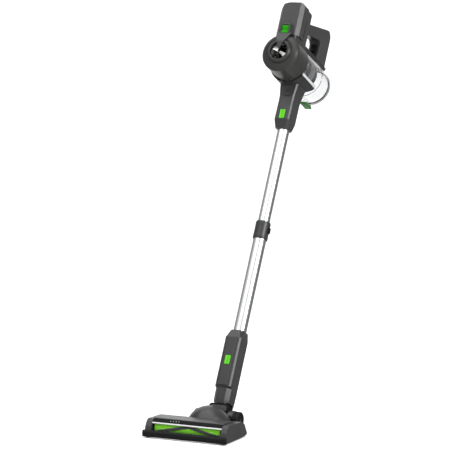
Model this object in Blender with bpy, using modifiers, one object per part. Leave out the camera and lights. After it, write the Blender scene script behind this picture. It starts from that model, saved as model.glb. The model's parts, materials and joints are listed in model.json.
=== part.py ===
"""Cordless stick vacuum, leaning as in use.  Metres, +Z up, front towards -Y, +X its left side.

The handheld unit, the telescopic wand and the connector are modelled in the stick's own frame:
x across, u towards the user, t up the stick, with its origin on the tilt axle of the floor head.
"""
import math

import bmesh
import bpy
from mathutils import Matrix, Vector

# ---- driving dimensions -------------------------------------------------------------------
LEAN = math.radians(28.3)      # the stick leans back from the vertical
GAP = 0.0003                   # between faces that touch
WALL = 0.0025                  # moulded plastic wall
AXLE_Y = -0.23205              # tilt axle, so that the whole object is centred fore and aft
AXLE_Z = 0.028

HEAD_W = 0.239                 # floor head
CAP_W = 0.017
BRUSH_Y = -0.183
BRUSH_Z = 0.0235
BRUSH_R = 0.0200
BRUSH_LEFT = -0.0905           # the belt runs past this end of the brush
MOTOR_Y = -0.125
MOTOR_Z = 0.0235
WHEEL_R = 0.0235
WHEEL_Y = -0.014
DOME_Y = -0.072
DOME_TOP = 0.0695
DOME_R = 0.0606

UPPER_R = 0.0172               # wand tubes
LOWER_R = 0.0187
TUBE_U = 0.0060                # their axis, behind the swivel pin
TUBE_WALL = 0.001
SWIVEL_T = 0.036
RIM_T = 0.241                  # top of the connector
COLLAR_T = (0.510, 0.562)
NOZZLE_T = 0.835

DRUM_T = 1.018                 # axis of the drum and the cup
DRUM_R = 0.0545
SADDLE_R = DRUM_R + 0.0013     # pieces that sit round the drum start here
CUP_START = -0.0457
CUP_END = 0.1255
PIN_Y, PIN_Z = -0.0590, 0.1265   # lid hinge pin, in the drum's frame
BOX_W = 0.063                  # battery and column
BOX_FRONT = -0.107
BOX_BACK = -0.036
BOX_TOP = 1.175
BATTERY_FOOT = 1.0768
PLINTH_FRONT = -0.1215         # the block under the battery latch
GRIP_W = 0.034
GRIP_BACK = 0.1425
GRIP_FRONT = 0.0845

ROUND = 24                     # sides of a small round piece
BIG_ROUND = 32

PALETTE = {
    "shell": ((0.085, 0.085, 0.088), 0.42, 0.0),
    "black": ((0.012, 0.012, 0.013), 0.50, 0.0),
    "rubber": ((0.018, 0.018, 0.018), 0.80, 0.0),
    "green": ((0.10, 0.52, 0.04), 0.35, 0.0),
    "steel": ((0.70, 0.71, 0.72), 0.22, 1.0),
    "silver": ((0.75, 0.75, 0.76), 0.30, 0.9),
    "clear": ((0.90, 0.91, 0.92), 0.08, 0.0),
    "filter": ((0.80, 0.80, 0.76), 0.90, 0.0),
    "board": ((0.02, 0.16, 0.07), 0.60, 0.0),
    "cell_wrap": ((0.05, 0.30, 0.45), 0.40, 0.0),
    "bristle": ((0.03, 0.03, 0.03), 0.95, 0.0),
}

# ---- collections --------------------------------------------------------------------------
for old in list(bpy.data.objects):
    bpy.data.objects.remove(old, do_unlink=True)
parts = bpy.data.collections.new("cordless_stick_vacuum")
cutters = bpy.data.collections.new("cutters")
for group in (parts, cutters):
    bpy.context.scene.collection.children.link(group)


# ---- helpers ------------------------------------------------------------------------------
def principled(name, kind):
    """A part's own Principled material, from the palette."""
    colour, roughness, metallic = PALETTE[kind]
    material = bpy.data.materials.new(name)
    material.use_nodes = True
    shader = material.node_tree.nodes["Principled BSDF"]
    shader.inputs["Base Color"].default_value = (*colour, 1.0)
    shader.inputs["Roughness"].default_value = roughness
    shader.inputs["Metallic"].default_value = metallic
    if kind == "clear":
        shader.inputs["Transmission Weight"].default_value = 0.9
    return material


def place(name, mesh, kind, parent, location=(0, 0, 0), rotation=(0, 0, 0)):
    """An object under its frame; without a kind it is a cutter or a piece to join."""
    obj = bpy.data.objects.new(name, mesh)
    obj.parent = parent
    obj.location = location
    obj.rotation_euler = rotation
    if kind is None:
        obj.hide_render = True
        obj.display_type = "WIRE"
        cutters.objects.link(obj)
    else:
        mesh.materials.append(principled(name, kind))
        parts.objects.link(obj)
    return obj


def frame(name, parent=None, location=(0, 0, 0), rotation=(0, 0, 0)):
    """An empty that carries a frame of its own."""
    empty = bpy.data.objects.new(name, None)
    empty.parent = parent
    empty.location = location
    empty.rotation_euler = rotation
    parts.objects.link(empty)
    return empty


def finish(bm, name, smooth_angle=30):
    """The bmesh as a mesh, its round faces smooth."""
    mesh = bpy.data.meshes.new(name)
    bmesh.ops.recalc_face_normals(bm, faces=bm.faces)
    bm.to_mesh(mesh)
    bm.free()
    mesh.shade_smooth()
    mesh.set_sharp_from_angle(angle=math.radians(smooth_angle))
    return mesh


def block(name, low, high, kind, parent, bevel=0.0, segments=2, origin=(0, 0, 0), angle=30):
    """A box between two corners, its edges rounded."""
    low, high, origin = Vector(low), Vector(high), Vector(origin)
    bm = bmesh.new()
    size = high - low
    matrix = Matrix.Translation((low + high) / 2 - origin) @ Matrix.Diagonal((*size, 1))
    bmesh.ops.create_cube(bm, size=1, matrix=matrix)
    obj = place(name, finish(bm, name), kind, parent, origin)
    round_edges(obj, bevel, segments, angle)
    return obj


def round_edges(obj, width, segments=2, angle=30):
    """Bevel every edge sharper than the angle."""
    if width:
        bevel = obj.modifiers.new("Rounded edges", "BEVEL")
        bevel.width = width
        bevel.segments = segments
        bevel.limit_method = "ANGLE"
        bevel.angle_limit = math.radians(angle)


def rod(name, radius, start, end, kind, parent, sides=ROUND, tip=None, origin=(0, 0, 0)):
    """A cylinder or a cone from start to end."""
    start, end, origin = Vector(start), Vector(end), Vector(origin)
    along = end - start
    turn = along.to_track_quat("Z", "Y").to_matrix().to_4x4()
    bm = bmesh.new()
    bmesh.ops.create_cone(bm, cap_ends=True, segments=sides, radius1=radius,
                          radius2=radius if tip is None else tip, depth=along.length,
                          matrix=Matrix.Translation((start + end) / 2 - origin) @ turn)
    return place(name, finish(bm, name), kind, parent, origin)


def turned(name, profile, kind, parent, location=(0, 0, 0), rotation=(0, 0, 0), steps=ROUND):
    """A profile of (radius, height) turned about Z.  It runs down the outer side; a profile
    that leaves the axis and comes back to it is solid, any other is a closed ring."""
    bm = bmesh.new()
    points = [bm.verts.new((r, 0, z)) for r, z in profile]
    for first, second in zip(points, points[1:]):
        bm.edges.new((first, second))
    if profile[0][0] > 0 or profile[-1][0] > 0:
        bm.edges.new((points[-1], points[0]))
    mesh = bpy.data.meshes.new(name)
    bm.to_mesh(mesh)
    bm.free()
    obj = place(name, mesh, kind, parent, location, rotation)
    screw = obj.modifiers.new("Turn", "SCREW")
    screw.steps = steps
    screw.render_steps = steps
    screw.use_merge_vertices = True
    screw.merge_threshold = 0.00005
    screw.use_smooth_shade = True
    return obj


PLANES = {
    "xy": Matrix(((1, 0, 0, 0), (0, 1, 0, 0), (0, 0, 1, 0), (0, 0, 0, 1))),
    "yz": Matrix(((0, 0, 1, 0), (1, 0, 0, 0), (0, 1, 0, 0), (0, 0, 0, 1))),
}


def slab(name, outline, low, high, plane, kind, parent, bevel=0.0, segments=2, angle=30):
    """A flat outline given its thickness, from low to high along the plane's normal."""
    curve = bpy.data.curves.new(name, "CURVE")
    curve.dimensions = "2D"
    curve.fill_mode = "BOTH"
    curve.extrude = (high - low) / 2
    spline = curve.splines.new("POLY")
    spline.points.add(len(outline) - 1)
    for point, (across, up) in zip(spline.points, outline):
        point.co = (across, up, 0, 1)
    spline.use_cyclic_u = True
    holder = bpy.data.objects.new(name + "_outline", curve)
    cutters.objects.link(holder)
    bpy.context.view_layer.update()
    source = holder.evaluated_get(bpy.context.evaluated_depsgraph_get())
    bm = bmesh.new()
    bm.from_mesh(bpy.data.meshes.new_from_object(source))
    bpy.data.objects.remove(holder, do_unlink=True)
    bmesh.ops.remove_doubles(bm, verts=bm.verts, dist=0.00001)
    bmesh.ops.dissolve_limit(bm, angle_limit=0.001, verts=bm.verts, edges=bm.edges)
    lift = Matrix.Translation((0, 0, (low + high) / 2))
    bmesh.ops.transform(bm, matrix=PLANES[plane] @ lift, verts=bm.verts)
    obj = place(name, finish(bm, name), kind, parent)
    round_edges(obj, bevel, segments, angle)
    return obj


def arc(radius, start, end, steps, centre=(0, 0)):
    """Points on an arc, its angles in degrees."""
    points = []
    for step in range(steps + 1):
        angle = math.radians(start + (end - start) * step / steps)
        points.append((centre[0] + radius * math.cos(angle), centre[1] + radius * math.sin(angle)))
    return points


def octagon(t, half, front, back, front_cut, back_cut=None):
    """A box section with its corners cut off, at height t."""
    back_cut = front_cut if back_cut is None else back_cut
    return [(half, front + front_cut, t), (half, back - back_cut, t), (half - back_cut, back, t),
            (back_cut - half, back, t), (-half, back - back_cut, t), (-half, front + front_cut, t),
            (front_cut - half, front, t), (half - front_cut, front, t)]


def loft(name, sections, kind, parent, bevel=0.0):
    """A closed skin through sections with the same number of points, bottom to top."""
    bm = bmesh.new()
    rings = [[bm.verts.new(point) for point in section] for section in sections]
    for lower, upper in zip(rings, rings[1:]):
        for index, corner in enumerate(lower):
            following = (index + 1) % len(lower)
            bm.faces.new((corner, lower[following], upper[following], upper[index]))
    bm.faces.new(rings[0])
    bm.faces.new(rings[-1])
    obj = place(name, finish(bm, name), kind, parent)
    round_edges(obj, bevel, 1, 40)
    return obj


def combine(target, tools, operation="DIFFERENCE"):
    """Cut the tools out of the target, or join them to it."""
    for tool in tools:
        modifier = target.modifiers.new(operation.title(), "BOOLEAN")
        modifier.operation = operation
        modifier.solver = "EXACT"
        modifier.object = tool


# ---- frames -------------------------------------------------------------------------------
head = frame("head_frame", None, (0, AXLE_Y, 0))
stick = frame("stick_frame", None, (0, AXLE_Y, AXLE_Z), (-LEAN, 0, 0))
drum = frame("drum_frame", stick, (0, 0, DRUM_T), (math.radians(-90), 0, 0))
ALONG_X = (0, math.radians(90), 0)


# ---- drum, motor and cyclone (heights run along u) ----------------------------------------
def drum_pieces():
    back, front = CUP_START - 0.0005, -0.1085
    turned("motor_housing", [(DRUM_R, back), (DRUM_R, front), (DRUM_R - WALL, front),
                             (DRUM_R - WALL, back - 0.003), (0.020, back - 0.003), (0.020, back)],
           "shell", drum, steps=BIG_ROUND)
    rim = front - GAP
    turned("front_cap", [(0.055, rim), (0.055, rim - 0.0045), (0.0528, rim - 0.0095),
                         (0.047, rim - 0.0145), (0.038, rim - 0.0180), (0.0355, rim - 0.0175),
                         (0.0335, rim - 0.0210), (0.0295, rim - 0.0248), (0.0265, rim - 0.0248),
                         (0.0255, rim - 0.0225), (0.0262, rim - 0.0190), (0.0310, rim - 0.0165),
                         (0.034, rim - 0.0145), (0.045, rim - 0.0120), (0.0505, rim - 0.0075),
                         (0.0525, rim - 0.003), (0.0525, rim)], "shell", drum, steps=BIG_ROUND)
    face = rim - 0.0215
    grille = turned("exhaust_grille", [(0.0252, face + 0.0035), (0.0252, face), (0.0232, face),
                                       (0.0232, face + 0.0035)], "black", drum)
    hub = rod("grille_hub", 0.007, (0, 0, face), (0, 0, face + 0.003), None, drum)
    webs = [block("grille_web", (-0.0240, -0.002, face + 0.0004), (0.0240, 0.002, face + 0.0026),
                  None, drum),
            block("grille_web_upright", (-0.0025, -0.0240, face + 0.0006),
                  (0.0025, 0.0240, face + 0.0024), None, drum)]
    combine(grille, webs + [hub], "UNION")
    turned("hepa_filter", [(0.0485, -0.0960), (0.0485, -0.1130), (0.0300, -0.1130),
                           (0.0300, -0.0960)], "filter", drum)
    turned("suction_motor", [(0, -0.0530), (0.030, -0.0530), (0.0330, -0.0560), (0.0330, -0.0900),
                             (0.030, -0.0935), (0, -0.0935)], "steel", drum)
    impeller()
    turned("cyclone_shroud", [(0, 0.050), (0.040, 0.050), (0.046, 0.044), (0.046, CUP_START),
                              (0.044, CUP_START), (0.044, 0.042), (0.039, 0.048), (0, 0.048)],
           "black", drum, steps=BIG_ROUND)
    turned("mesh_screen", [(0.0474, 0.024), (0.0474, -0.004), (0.0463, -0.004), (0.0463, 0.024)],
           "silver", drum, steps=BIG_ROUND)
    turned("pre_filter", [(0.030, 0.036), (0.030, -0.042), (0.016, -0.042), (0.016, 0.036)],
           "filter", drum)


def impeller():
    """Eight swept blades, lofted between two star outlines, on a shaft stub."""
    stars = []
    for height, turn in ((-0.1215, 0.0), (-0.1165, 12.0), (-0.1045, 24.0)):
        points = []
        for blade in range(8):
            for offset, radius in ((0, 0.0235), (5, 0.0235), (14, 0.0090), (36, 0.0090)):
                angle = math.radians(45 * blade + offset + turn)
                points.append((radius * math.cos(angle), radius * math.sin(angle), height))
        stars.append(points)
    rotor = loft("impeller", stars, "silver", drum)
    shaft = rod("impeller_shaft", 0.0035, (0, 0, -0.1050), (0, 0, -0.0938), None, drum, 12)
    combine(rotor, [shaft], "UNION")


def cup_pieces():
    rib = 0.063
    outer = [(DRUM_R, CUP_END), (DRUM_R, rib + 0.002), (0.0554, rib + 0.001),
             (0.0554, rib - 0.001), (DRUM_R, rib - 0.002), (DRUM_R, CUP_START)]
    cup = turned("dust_cup", outer + [(0.0520, CUP_START), (0.0520, CUP_END)], "clear", drum,
                 steps=BIG_ROUND)
    bracket = block("latch_bracket", (-0.007, 0.0535, 0.1005), (0.007, 0.0580, 0.1115), None, drum,
                    0.001, 1)
    for side in (-0.013, 0.013):
        barrel = rod("lid_barrel", 0.0024, (side - 0.004, PIN_Y, PIN_Z), (side + 0.004, PIN_Y, PIN_Z),
                     None, drum, 16)
        root = block("lid_barrel_root", (side - 0.0039, PIN_Y - 0.0022, 0.1160),
                     (side + 0.0039, -0.0530, 0.1252), None, drum)
        combine(cup, [root, barrel], "UNION")
    combine(cup, [bracket], "UNION")
    pin_hole = rod("lid_pin_hole", 0.0014, (-0.03, PIN_Y, PIN_Z), (0.03, PIN_Y, PIN_Z), None, drum, 12)
    combine(cup, [pin_hole])
    rod("lid_hinge_pin", 0.0012, (-0.0172, PIN_Y, PIN_Z), (0.0172, PIN_Y, PIN_Z), "steel", drum, 12)
    lid_frame = frame("lid_hinge_frame", drum, (0, PIN_Y, PIN_Z))
    lid = turned("cup_lid", [(0, 0.0090), (0.036, 0.0090), (0.050, 0.0048), (DRUM_R, 0.0020),
                             (DRUM_R, -0.0005), (0.050, -0.0005), (0.048, 0.0010), (0, 0.0025)],
                 "clear", lid_frame, (0, -PIN_Y, 0), steps=BIG_ROUND)
    arm = block("lid_arm", (-0.0085, -0.0022, -0.0022), (0.0085, 0.0060, 0.0018), None, lid_frame)
    arm_hole = rod("lid_arm_hole", 0.0014, (-0.02, 0, 0), (0.02, 0, 0), None, lid_frame, 12)
    clear_cup = rod("lid_arm_clearance", DRUM_R + 0.0007, (0, -PIN_Y, -0.03), (0, -PIN_Y, -0.0006),
                    None, lid_frame, 64)
    combine(arm, [clear_cup])
    combine(lid, [arm], "UNION")
    combine(lid, [arm_hole])
    turned("lid_seal", [(0.0512, -0.0008), (0.0512, -0.0038), (0.0470, -0.0038), (0.0470, -0.0008)],
           "rubber", lid_frame, (0, -PIN_Y, 0), steps=BIG_ROUND)
    latch_frame = frame("latch_frame", drum, (0, 0.0635, 0.106))
    latch = block("cup_latch", (-0.0095, -0.0036, -0.0160), (0.0095, 0.0020, 0.0250), "green",
                  latch_frame, 0.0012, 1)
    hook = block("latch_hook", (-0.0060, -0.0105, 0.0237), (0.0060, 0.0010, 0.0248), None,
                 latch_frame)
    combine(latch, [hook], "UNION")
    trough = arc(SADDLE_R, 38, 142, 16) + arc(SADDLE_R + 0.003, 142, 38, 16)
    cradle = slab("cup_cradle", trough, CUP_START, 0.047, "xy", "shell", drum)
    heel = [(0.0380, 0.0490), (0.0700, 0.0490), (0.0700, 0.0240)]
    combine(cradle, [slab("cradle_heel_cut", heel, -0.07, 0.07, "yz", None, drum)])


# ---- main frame, battery and handle -------------------------------------------------------
def saddle_cutter(name, radius):
    return rod(name, radius, (0, 0, -0.16), (0, 0, 0.20), None, drum, 48)


def frame_pieces():
    half = BOX_W / 2
    column_front = -0.0665
    rounding = arc(0.014, 90, 0, 4, (BOX_BACK - 0.014, BOX_TOP - 0.021))
    column_outline = [(column_front, 1.060), (column_front, BOX_TOP - 0.007)] + rounding
    column_outline += [(BOX_BACK, 1.060)]
    column = slab("main_frame", column_outline, -half, half, "yz", "shell", stick)
    dock = block("battery_dock", (-half, BOX_FRONT, 1.0560), (half, -0.050, BATTERY_FOOT - GAP),
                 None, stick)
    band = arc(SADDLE_R, -118, -62, 12) + arc(SADDLE_R + 0.0095, -62, -118, 12)
    spine = slab("spine", band, BOX_BACK - 0.012, 0.1250, "xy", None, drum)
    notch = block("hinge_notch", (-0.0185, -0.0642, 0.1140), (0.0185, -0.0500, 0.1400), None, drum)
    hood = arc(0.0642, -104, -76, 8) + arc(SADDLE_R + 0.0095, -76, -104, 8)
    combine(spine, [notch])
    combine(column, [dock, spine, slab("hinge_hood", hood, 0.1100, 0.1400, "xy", None, drum)],
            "UNION")
    combine(column, [saddle_cutter("frame_saddle", SADDLE_R - 0.0002)])
    # a tapering panel in front of the front cap, from the battery's foot down to the hub ring
    stations = [(0.0582, -0.1075, 0.0145, 0.0240), (0.0556, -0.1137, 0.0095, 0.0222),
                (0.0528, -0.1188, 0.0058, 0.0205), (0.0470, -0.1238, 0.0035, 0.0180),
                (0.0380, -0.1273, 0.0034, 0.0150), (0.0335, -0.1303, 0.0028, 0.0135),
                (0.0295, -0.1341, 0.0018, 0.0120), (0.0262, -0.1341, 0.0018, 0.0108),
                (0.0100, -0.1332, 0.0016, 0.0040), (0.0035, -0.1328, 0.0014, 0.0010)]
    loft("front_tongue", [[(half_w, back, DRUM_T + up), (half_w, back - thick, DRUM_T + up),
                           (-half_w, back - thick, DRUM_T + up), (-half_w, back, DRUM_T + up)]
                          for up, back, thick, half_w in stations], "shell", stick)


def battery_pieces():
    half, back = BOX_W / 2 + 0.0035, -0.0668
    cut = 0.0105
    outline = [(half, back), (-half, back), (-half, BOX_FRONT + cut), (cut - half, BOX_FRONT),
               (half - cut, BOX_FRONT), (half, BOX_FRONT + cut)]
    case = slab("battery_case", outline, BATTERY_FOOT, BOX_TOP, "xy", "shell", stick)
    round_edges(case, 0.004, 2, 60)
    combine(case, [latch_plinth()], "UNION")
    pocket = block("latch_pocket", (-0.0105, PLINTH_FRONT - 0.002, 1.0745),
                   (0.0105, PLINTH_FRONT + 0.0075, 1.1000), None, stick, 0.0015, 1)
    cavity = block("cell_cavity", (-half + 0.0025, -0.0975, 1.0700), (half - 0.0025, -0.0690, 1.1700),
                   None, stick)
    combine(case, [pocket, cavity])
    # cells in one row, joined by their nickel strips
    cell_t = (1.0900, 1.1550)
    centre_u = (-0.0975 - 0.0690) / 2
    pack = block("battery_cells", (-0.0270, centre_u - 0.006, cell_t[1] - 0.0005),
                 (0.0270, centre_u + 0.006, cell_t[1] + 0.0010), "cell_wrap", stick)
    cells = [rod("cell", 0.0090, (x, centre_u, cell_t[0]), (x, centre_u, cell_t[1]), None, stick, 16)
             for x in (-0.0185, 0.0, 0.0185)]
    combine(pack, cells, "UNION")
    latch = block("battery_latch", (-0.0095, PLINTH_FRONT - 0.0010, 1.0772),
                  (0.0095, PLINTH_FRONT + 0.0050, 1.0985), "green", stick, 0.0012, 1)
    step = block("latch_step", (-0.0120, PLINTH_FRONT - 0.0030, 1.0855),
                 (0.0120, PLINTH_FRONT + 0.0012, 1.0905), None, stick)
    combine(latch, [step])


def latch_plinth():
    """The arch-topped block on the battery's front that carries its latch."""
    sections = []
    for u, half, top in ((BOX_FRONT + 0.003, 0.0210, 1.1140), (PLINTH_FRONT + 0.001, 0.0150, 1.1062),
                         (PLINTH_FRONT, 0.0140, 1.1052)):
        shoulder, crown = 0.5 * half, 0.012
        sections.append([(half, u, BATTERY_FOOT), (half, u, top - crown),
                         (half - 0.12 * half, u, top - 0.4 * crown), (shoulder, u, top),
                         (-shoulder, u, top), (0.12 * half - half, u, top - 0.4 * crown),
                         (-half, u, top - crown), (-half, u, BATTERY_FOOT)])
    return loft("latch_plinth", sections, None, stick)


def handle_outline():
    """Bridge and grip seen from the side, (u, t)."""
    outline = [(BOX_BACK + GAP, 1.1445), (BOX_BACK + GAP, 1.1140), (0.0700, 1.1405)]
    outline += arc(0.010, 103, 0, 4, (GRIP_FRONT - 0.010, 1.1310))
    outline += [(GRIP_FRONT, 1.0800), (GRIP_BACK, 1.0800)]
    outline += arc(0.012, 0, 104, 5, (GRIP_BACK - 0.012, 1.1808))
    return outline + [(0.0566, 1.1725)]


def handle_pieces():
    half = GRIP_W / 2
    for side, name in ((1, "handle_left_shell"), (-1, "handle_right_shell")):
        shell = slab(name, handle_outline(), -half, half, "yz", "shell", stick, 0.006, 2, 45)
        other = block(name + "_half", (-side * 0.03, -0.1, 1.05), (side * 0.0002, 0.2, 1.25), None,
                      stick)
        hollow = block(name + "_hollow", (-0.0125, 0.0980, 1.0900), (0.0125, 0.1330, 1.1680), None,
                       stick)
        trigger_slot = block(name + "_trigger_slot", (-0.0080, 0.0700, 1.1060),
                             (0.0080, 0.1000, 1.1290), None, stick)
        base = saddle_cutter(name + "_saddle", SADDLE_R + 0.0098)
        button_hole = rod(name + "_button_hole", 0.0065, (0, 0.0900, 1.1700), (0, 0.0795, 1.2030),
                          None, stick, 20)
        combine(shell, [other, hollow, trigger_slot, base, button_hole])
    insert = block("grip_insert", (-0.0100, GRIP_FRONT - 0.0035, 1.0850),
                   (0.0100, GRIP_FRONT - GAP, 1.1040), "rubber", stick, 0.0012, 1)
    combine(insert, [saddle_cutter("insert_saddle", SADDLE_R + 0.0098)])
    trigger = block("trigger", (-0.0075, 0.0745, 1.1065), (0.0075, 0.0940, 1.1285), "black", stick,
                    0.0015, 2)
    finger = rod("trigger_finger_hollow", 0.014, (-0.02, 0.0625, 1.1160), (0.02, 0.0625, 1.1160),
                 None, stick, 32)
    combine(trigger, [finger])
    rod("power_button", 0.0062, (0, 0.08822, 1.1755), (0, 0.08552, 1.1840), "black", stick, 20)
    block("control_board", (-0.0105, 0.1120, 1.0930), (0.0105, 0.1136, 1.1640), "board", stick)


# ---- wand socket ---------------------------------------------------------------------------
def nozzle_pieces():
    sections = [octagon(NOZZLE_T, 0.0200, -0.0165, 0.0252, 0.0080),
                octagon(0.859, 0.0230, -0.0255, 0.0300, 0.0065),
                octagon(0.915, 0.0230, -0.0235, 0.0310, 0.0065),
                octagon(0.930, 0.0235, -0.0235, 0.0325, 0.0065),
                octagon(0.975, 0.0290, -0.0260, 0.0410, 0.0070),
                octagon(0.992, 0.0300, -0.0265, 0.0435, 0.0070)]
    shell = loft("nozzle_shell", sections, "shell", stick, 0.0008)
    bore = rod("wand_bore", UPPER_R + 0.0003, (0, TUBE_U, 0.80), (0, TUBE_U, 0.9300), None, stick, ROUND)
    duct = rod("air_duct", 0.0120, (0, 0.002, 0.9290), (0, 0.002, 1.00), None, stick, ROUND)
    button_hole = block("wand_button_hole", (-0.0098, -0.0330, 0.8575), (0.0098, -0.0217, 0.8845),
                        None, stick)
    combine(shell, [bore, duct, button_hole, saddle_cutter("nozzle_saddle", SADDLE_R + 0.0033)])
    block("wand_release_button", (-0.0095, -0.0271, 0.8578), (0.0095, -0.0235, 0.8842), "green",
          stick, 0.0012, 2)
    panel = [octagon(0.8900, 0.0145, -0.0259, -0.0249, 0.0004),
             octagon(0.9150, 0.0150, -0.0260, -0.0238, 0.0008),
             octagon(0.9300, 0.0155, -0.0263, -0.0238, 0.0008),
             octagon(0.9560, 0.0180, -0.0282, -0.0253, 0.0010)]
    loft("nozzle_front_panel", panel, "shell", stick)


# ---- telescopic wand -----------------------------------------------------------------------
def tube(name, radius, low, high):
    inner = radius - TUBE_WALL
    turned(name, [(radius, high), (radius, low), (inner, low), (inner, high)], "steel", stick,
           (0, TUBE_U, 0))


def wand_pieces():
    tube("upper_tube", UPPER_R, 0.4620, 0.9285)
    tube("lower_tube", LOWER_R, 0.1700, 0.5350)
    low, high = COLLAR_T
    turned("clamp_collar", [(UPPER_R + 0.0026, high), (0.0210, high - 0.004), (0.0210, low + 0.003),
                            (0.0204, low), (LOWER_R + GAP, low), (LOWER_R + GAP, 0.5353),
                            (UPPER_R + GAP, 0.5353), (UPPER_R + GAP, high)], "shell", stick,
           (0, TUBE_U, 0))
    slider = block("collar_slider", (0.0195, TUBE_U - 0.0055, 0.5300),
                   (0.0240, TUBE_U + 0.0055, 0.5460), "black", stick, 0.0012, 1)
    combine(slider, [rod("slider_seat", 0.0213, (0, TUBE_U, 0.50), (0, TUBE_U, 0.58), None, stick, 48)])


# ---- connector and neck --------------------------------------------------------------------
def connector_pieces():
    half, front, back = 0.0245, -0.0290, 0.0270
    sections = [octagon(-0.0040, 0.0190, 0.0100, back, 0.0030, 0.0040),
                octagon(0.0275, half - 0.0020, -0.0230, back, 0.0120, 0.0060),
                octagon(0.0420, half - 0.0005, -0.0258, back, 0.0150, 0.0065),
                octagon(0.0735, half, -0.0263, back, 0.0150, 0.0065),
                octagon(0.0760, half, front, back, 0.0065),
                octagon(0.2170, half, front, back, 0.0065),
                octagon(RIM_T, 0.0204, -0.0175, 0.0264, 0.0080)]
    shell = loft("connector_shell", sections, "shell", stick, 0.0008)
    socket = rod("tube_socket", LOWER_R + 0.0003, (0, TUBE_U, 0.1697), (0, TUBE_U, 0.26), None, stick,
                 ROUND)
    passage = rod("air_passage", 0.0150, (0, 0, 0.04), (0, 0, 0.1705), None, stick, ROUND)
    slot = block("swivel_slot", (-0.0168, -0.0176, 0.0250), (0.0168, 0.0155, 0.0505), None, stick)
    sweep = block("axle_sweep", (-0.06, -0.0400, -0.02), (0.06, -0.0170, 0.0300), None, stick)
    side_sweep = block("side_sweep", (-0.06, -0.0176, -0.02), (0.06, 0.0156, 0.0335), None, stick)
    pin = rod("swivel_pin_hole", 0.0042, (0, 0.0, SWIVEL_T), (0, 0.05, SWIVEL_T), None, stick, 16)
    button_hole = block("head_button_hole", (-0.0106, -0.0340, 0.1363), (0.0106, -0.0235, 0.1637),
                        None, stick)
    combine(shell, [socket, passage, slot, sweep, side_sweep, pin, button_hole])
    panel = [(0.0155, front - 0.0028), (0.0170, front - GAP), (-0.0170, front - GAP),
             (-0.0155, front - 0.0028)]
    plate = slab("connector_front_panel", panel, 0.0790, 0.2160, "xy", "shell", stick)
    combine(plate, [block("panel_button_hole", (-0.0106, -0.0360, 0.1363), (0.0106, -0.0240, 0.1637),
                          None, stick)])
    block("head_release_button", (-0.0103, -0.0332, 0.1366), (0.0103, -0.0255, 0.1634), "green",
          stick, 0.0012, 2)


def neck_pieces():
    neck = rod("neck", 0.0150, (-0.0285, 0, 0), (0.0285, 0, 0), "shell", stick, ROUND)
    stub = block("neck_stub", (-0.0085, -0.0120, 0.0), (0.0085, 0.0100, SWIVEL_T), None, stick)
    barrel = rod("swivel_barrel", 0.0135, (0, -0.0155, SWIVEL_T), (0, 0.0130, SWIVEL_T), None,
                 stick, ROUND)
    combine(neck, [stub, barrel], "UNION")
    combine(neck, [rod("tilt_axle_hole", 0.0043, (-0.05, 0, 0), (0.05, 0, 0), None, stick, 16),
                   rod("neck_pin_hole", 0.0043, (0, -0.0100, SWIVEL_T), (0, 0.05, SWIVEL_T), None,
                       stick, 16)])
    rod("swivel_pin", 0.0040, (0, -0.0095, SWIVEL_T), (0, 0.0265, SWIVEL_T), "steel", stick, 16)
    rod("tilt_axle", 0.0040, (-0.0455, 0, AXLE_Z), (0.0455, 0, AXLE_Z), "steel", head, 16)


# ---- floor head ----------------------------------------------------------------------------
def base_plate():
    inner = HEAD_W / 2 - CAP_W - GAP
    plate = block("base_plate", (-inner, -0.2070, 0.0030), (inner, -0.0830, 0.0060), "shell", head)
    wall = block("chamber_wall", (-0.0880, -0.1545, 0.0050), (inner, -0.1520, 0.0395), None, head)
    additions = [wall]
    for side in (-1, 1):
        near, far = sorted((side * 0.0300, side * 0.0460))
        additions += [
            block("rear_arm", (near, -0.0900, 0.0040), (far, -0.0060, 0.0290), None, head),
            rod("pivot_ear", 0.0195, (near, -0.0050, 0.0270), (far, -0.0050, 0.0270), None, head),
            rod("wheel_stub", 0.0028, (side * 0.0440, WHEEL_Y, WHEEL_R),
                (side * 0.0665, WHEEL_Y, WHEEL_R), None, head, 16)]
    combine(plate, additions, "UNION")
    mouth = block("suction_mouth", (BRUSH_LEFT, -0.2035, -0.01), (0.0965, -0.1560, 0.02), None, head)
    axle = rod("axle_bore", 0.0042, (-0.06, 0, AXLE_Z), (0.06, 0, AXLE_Z), None, head, 16)
    combine(plate, [mouth, axle])


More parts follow.
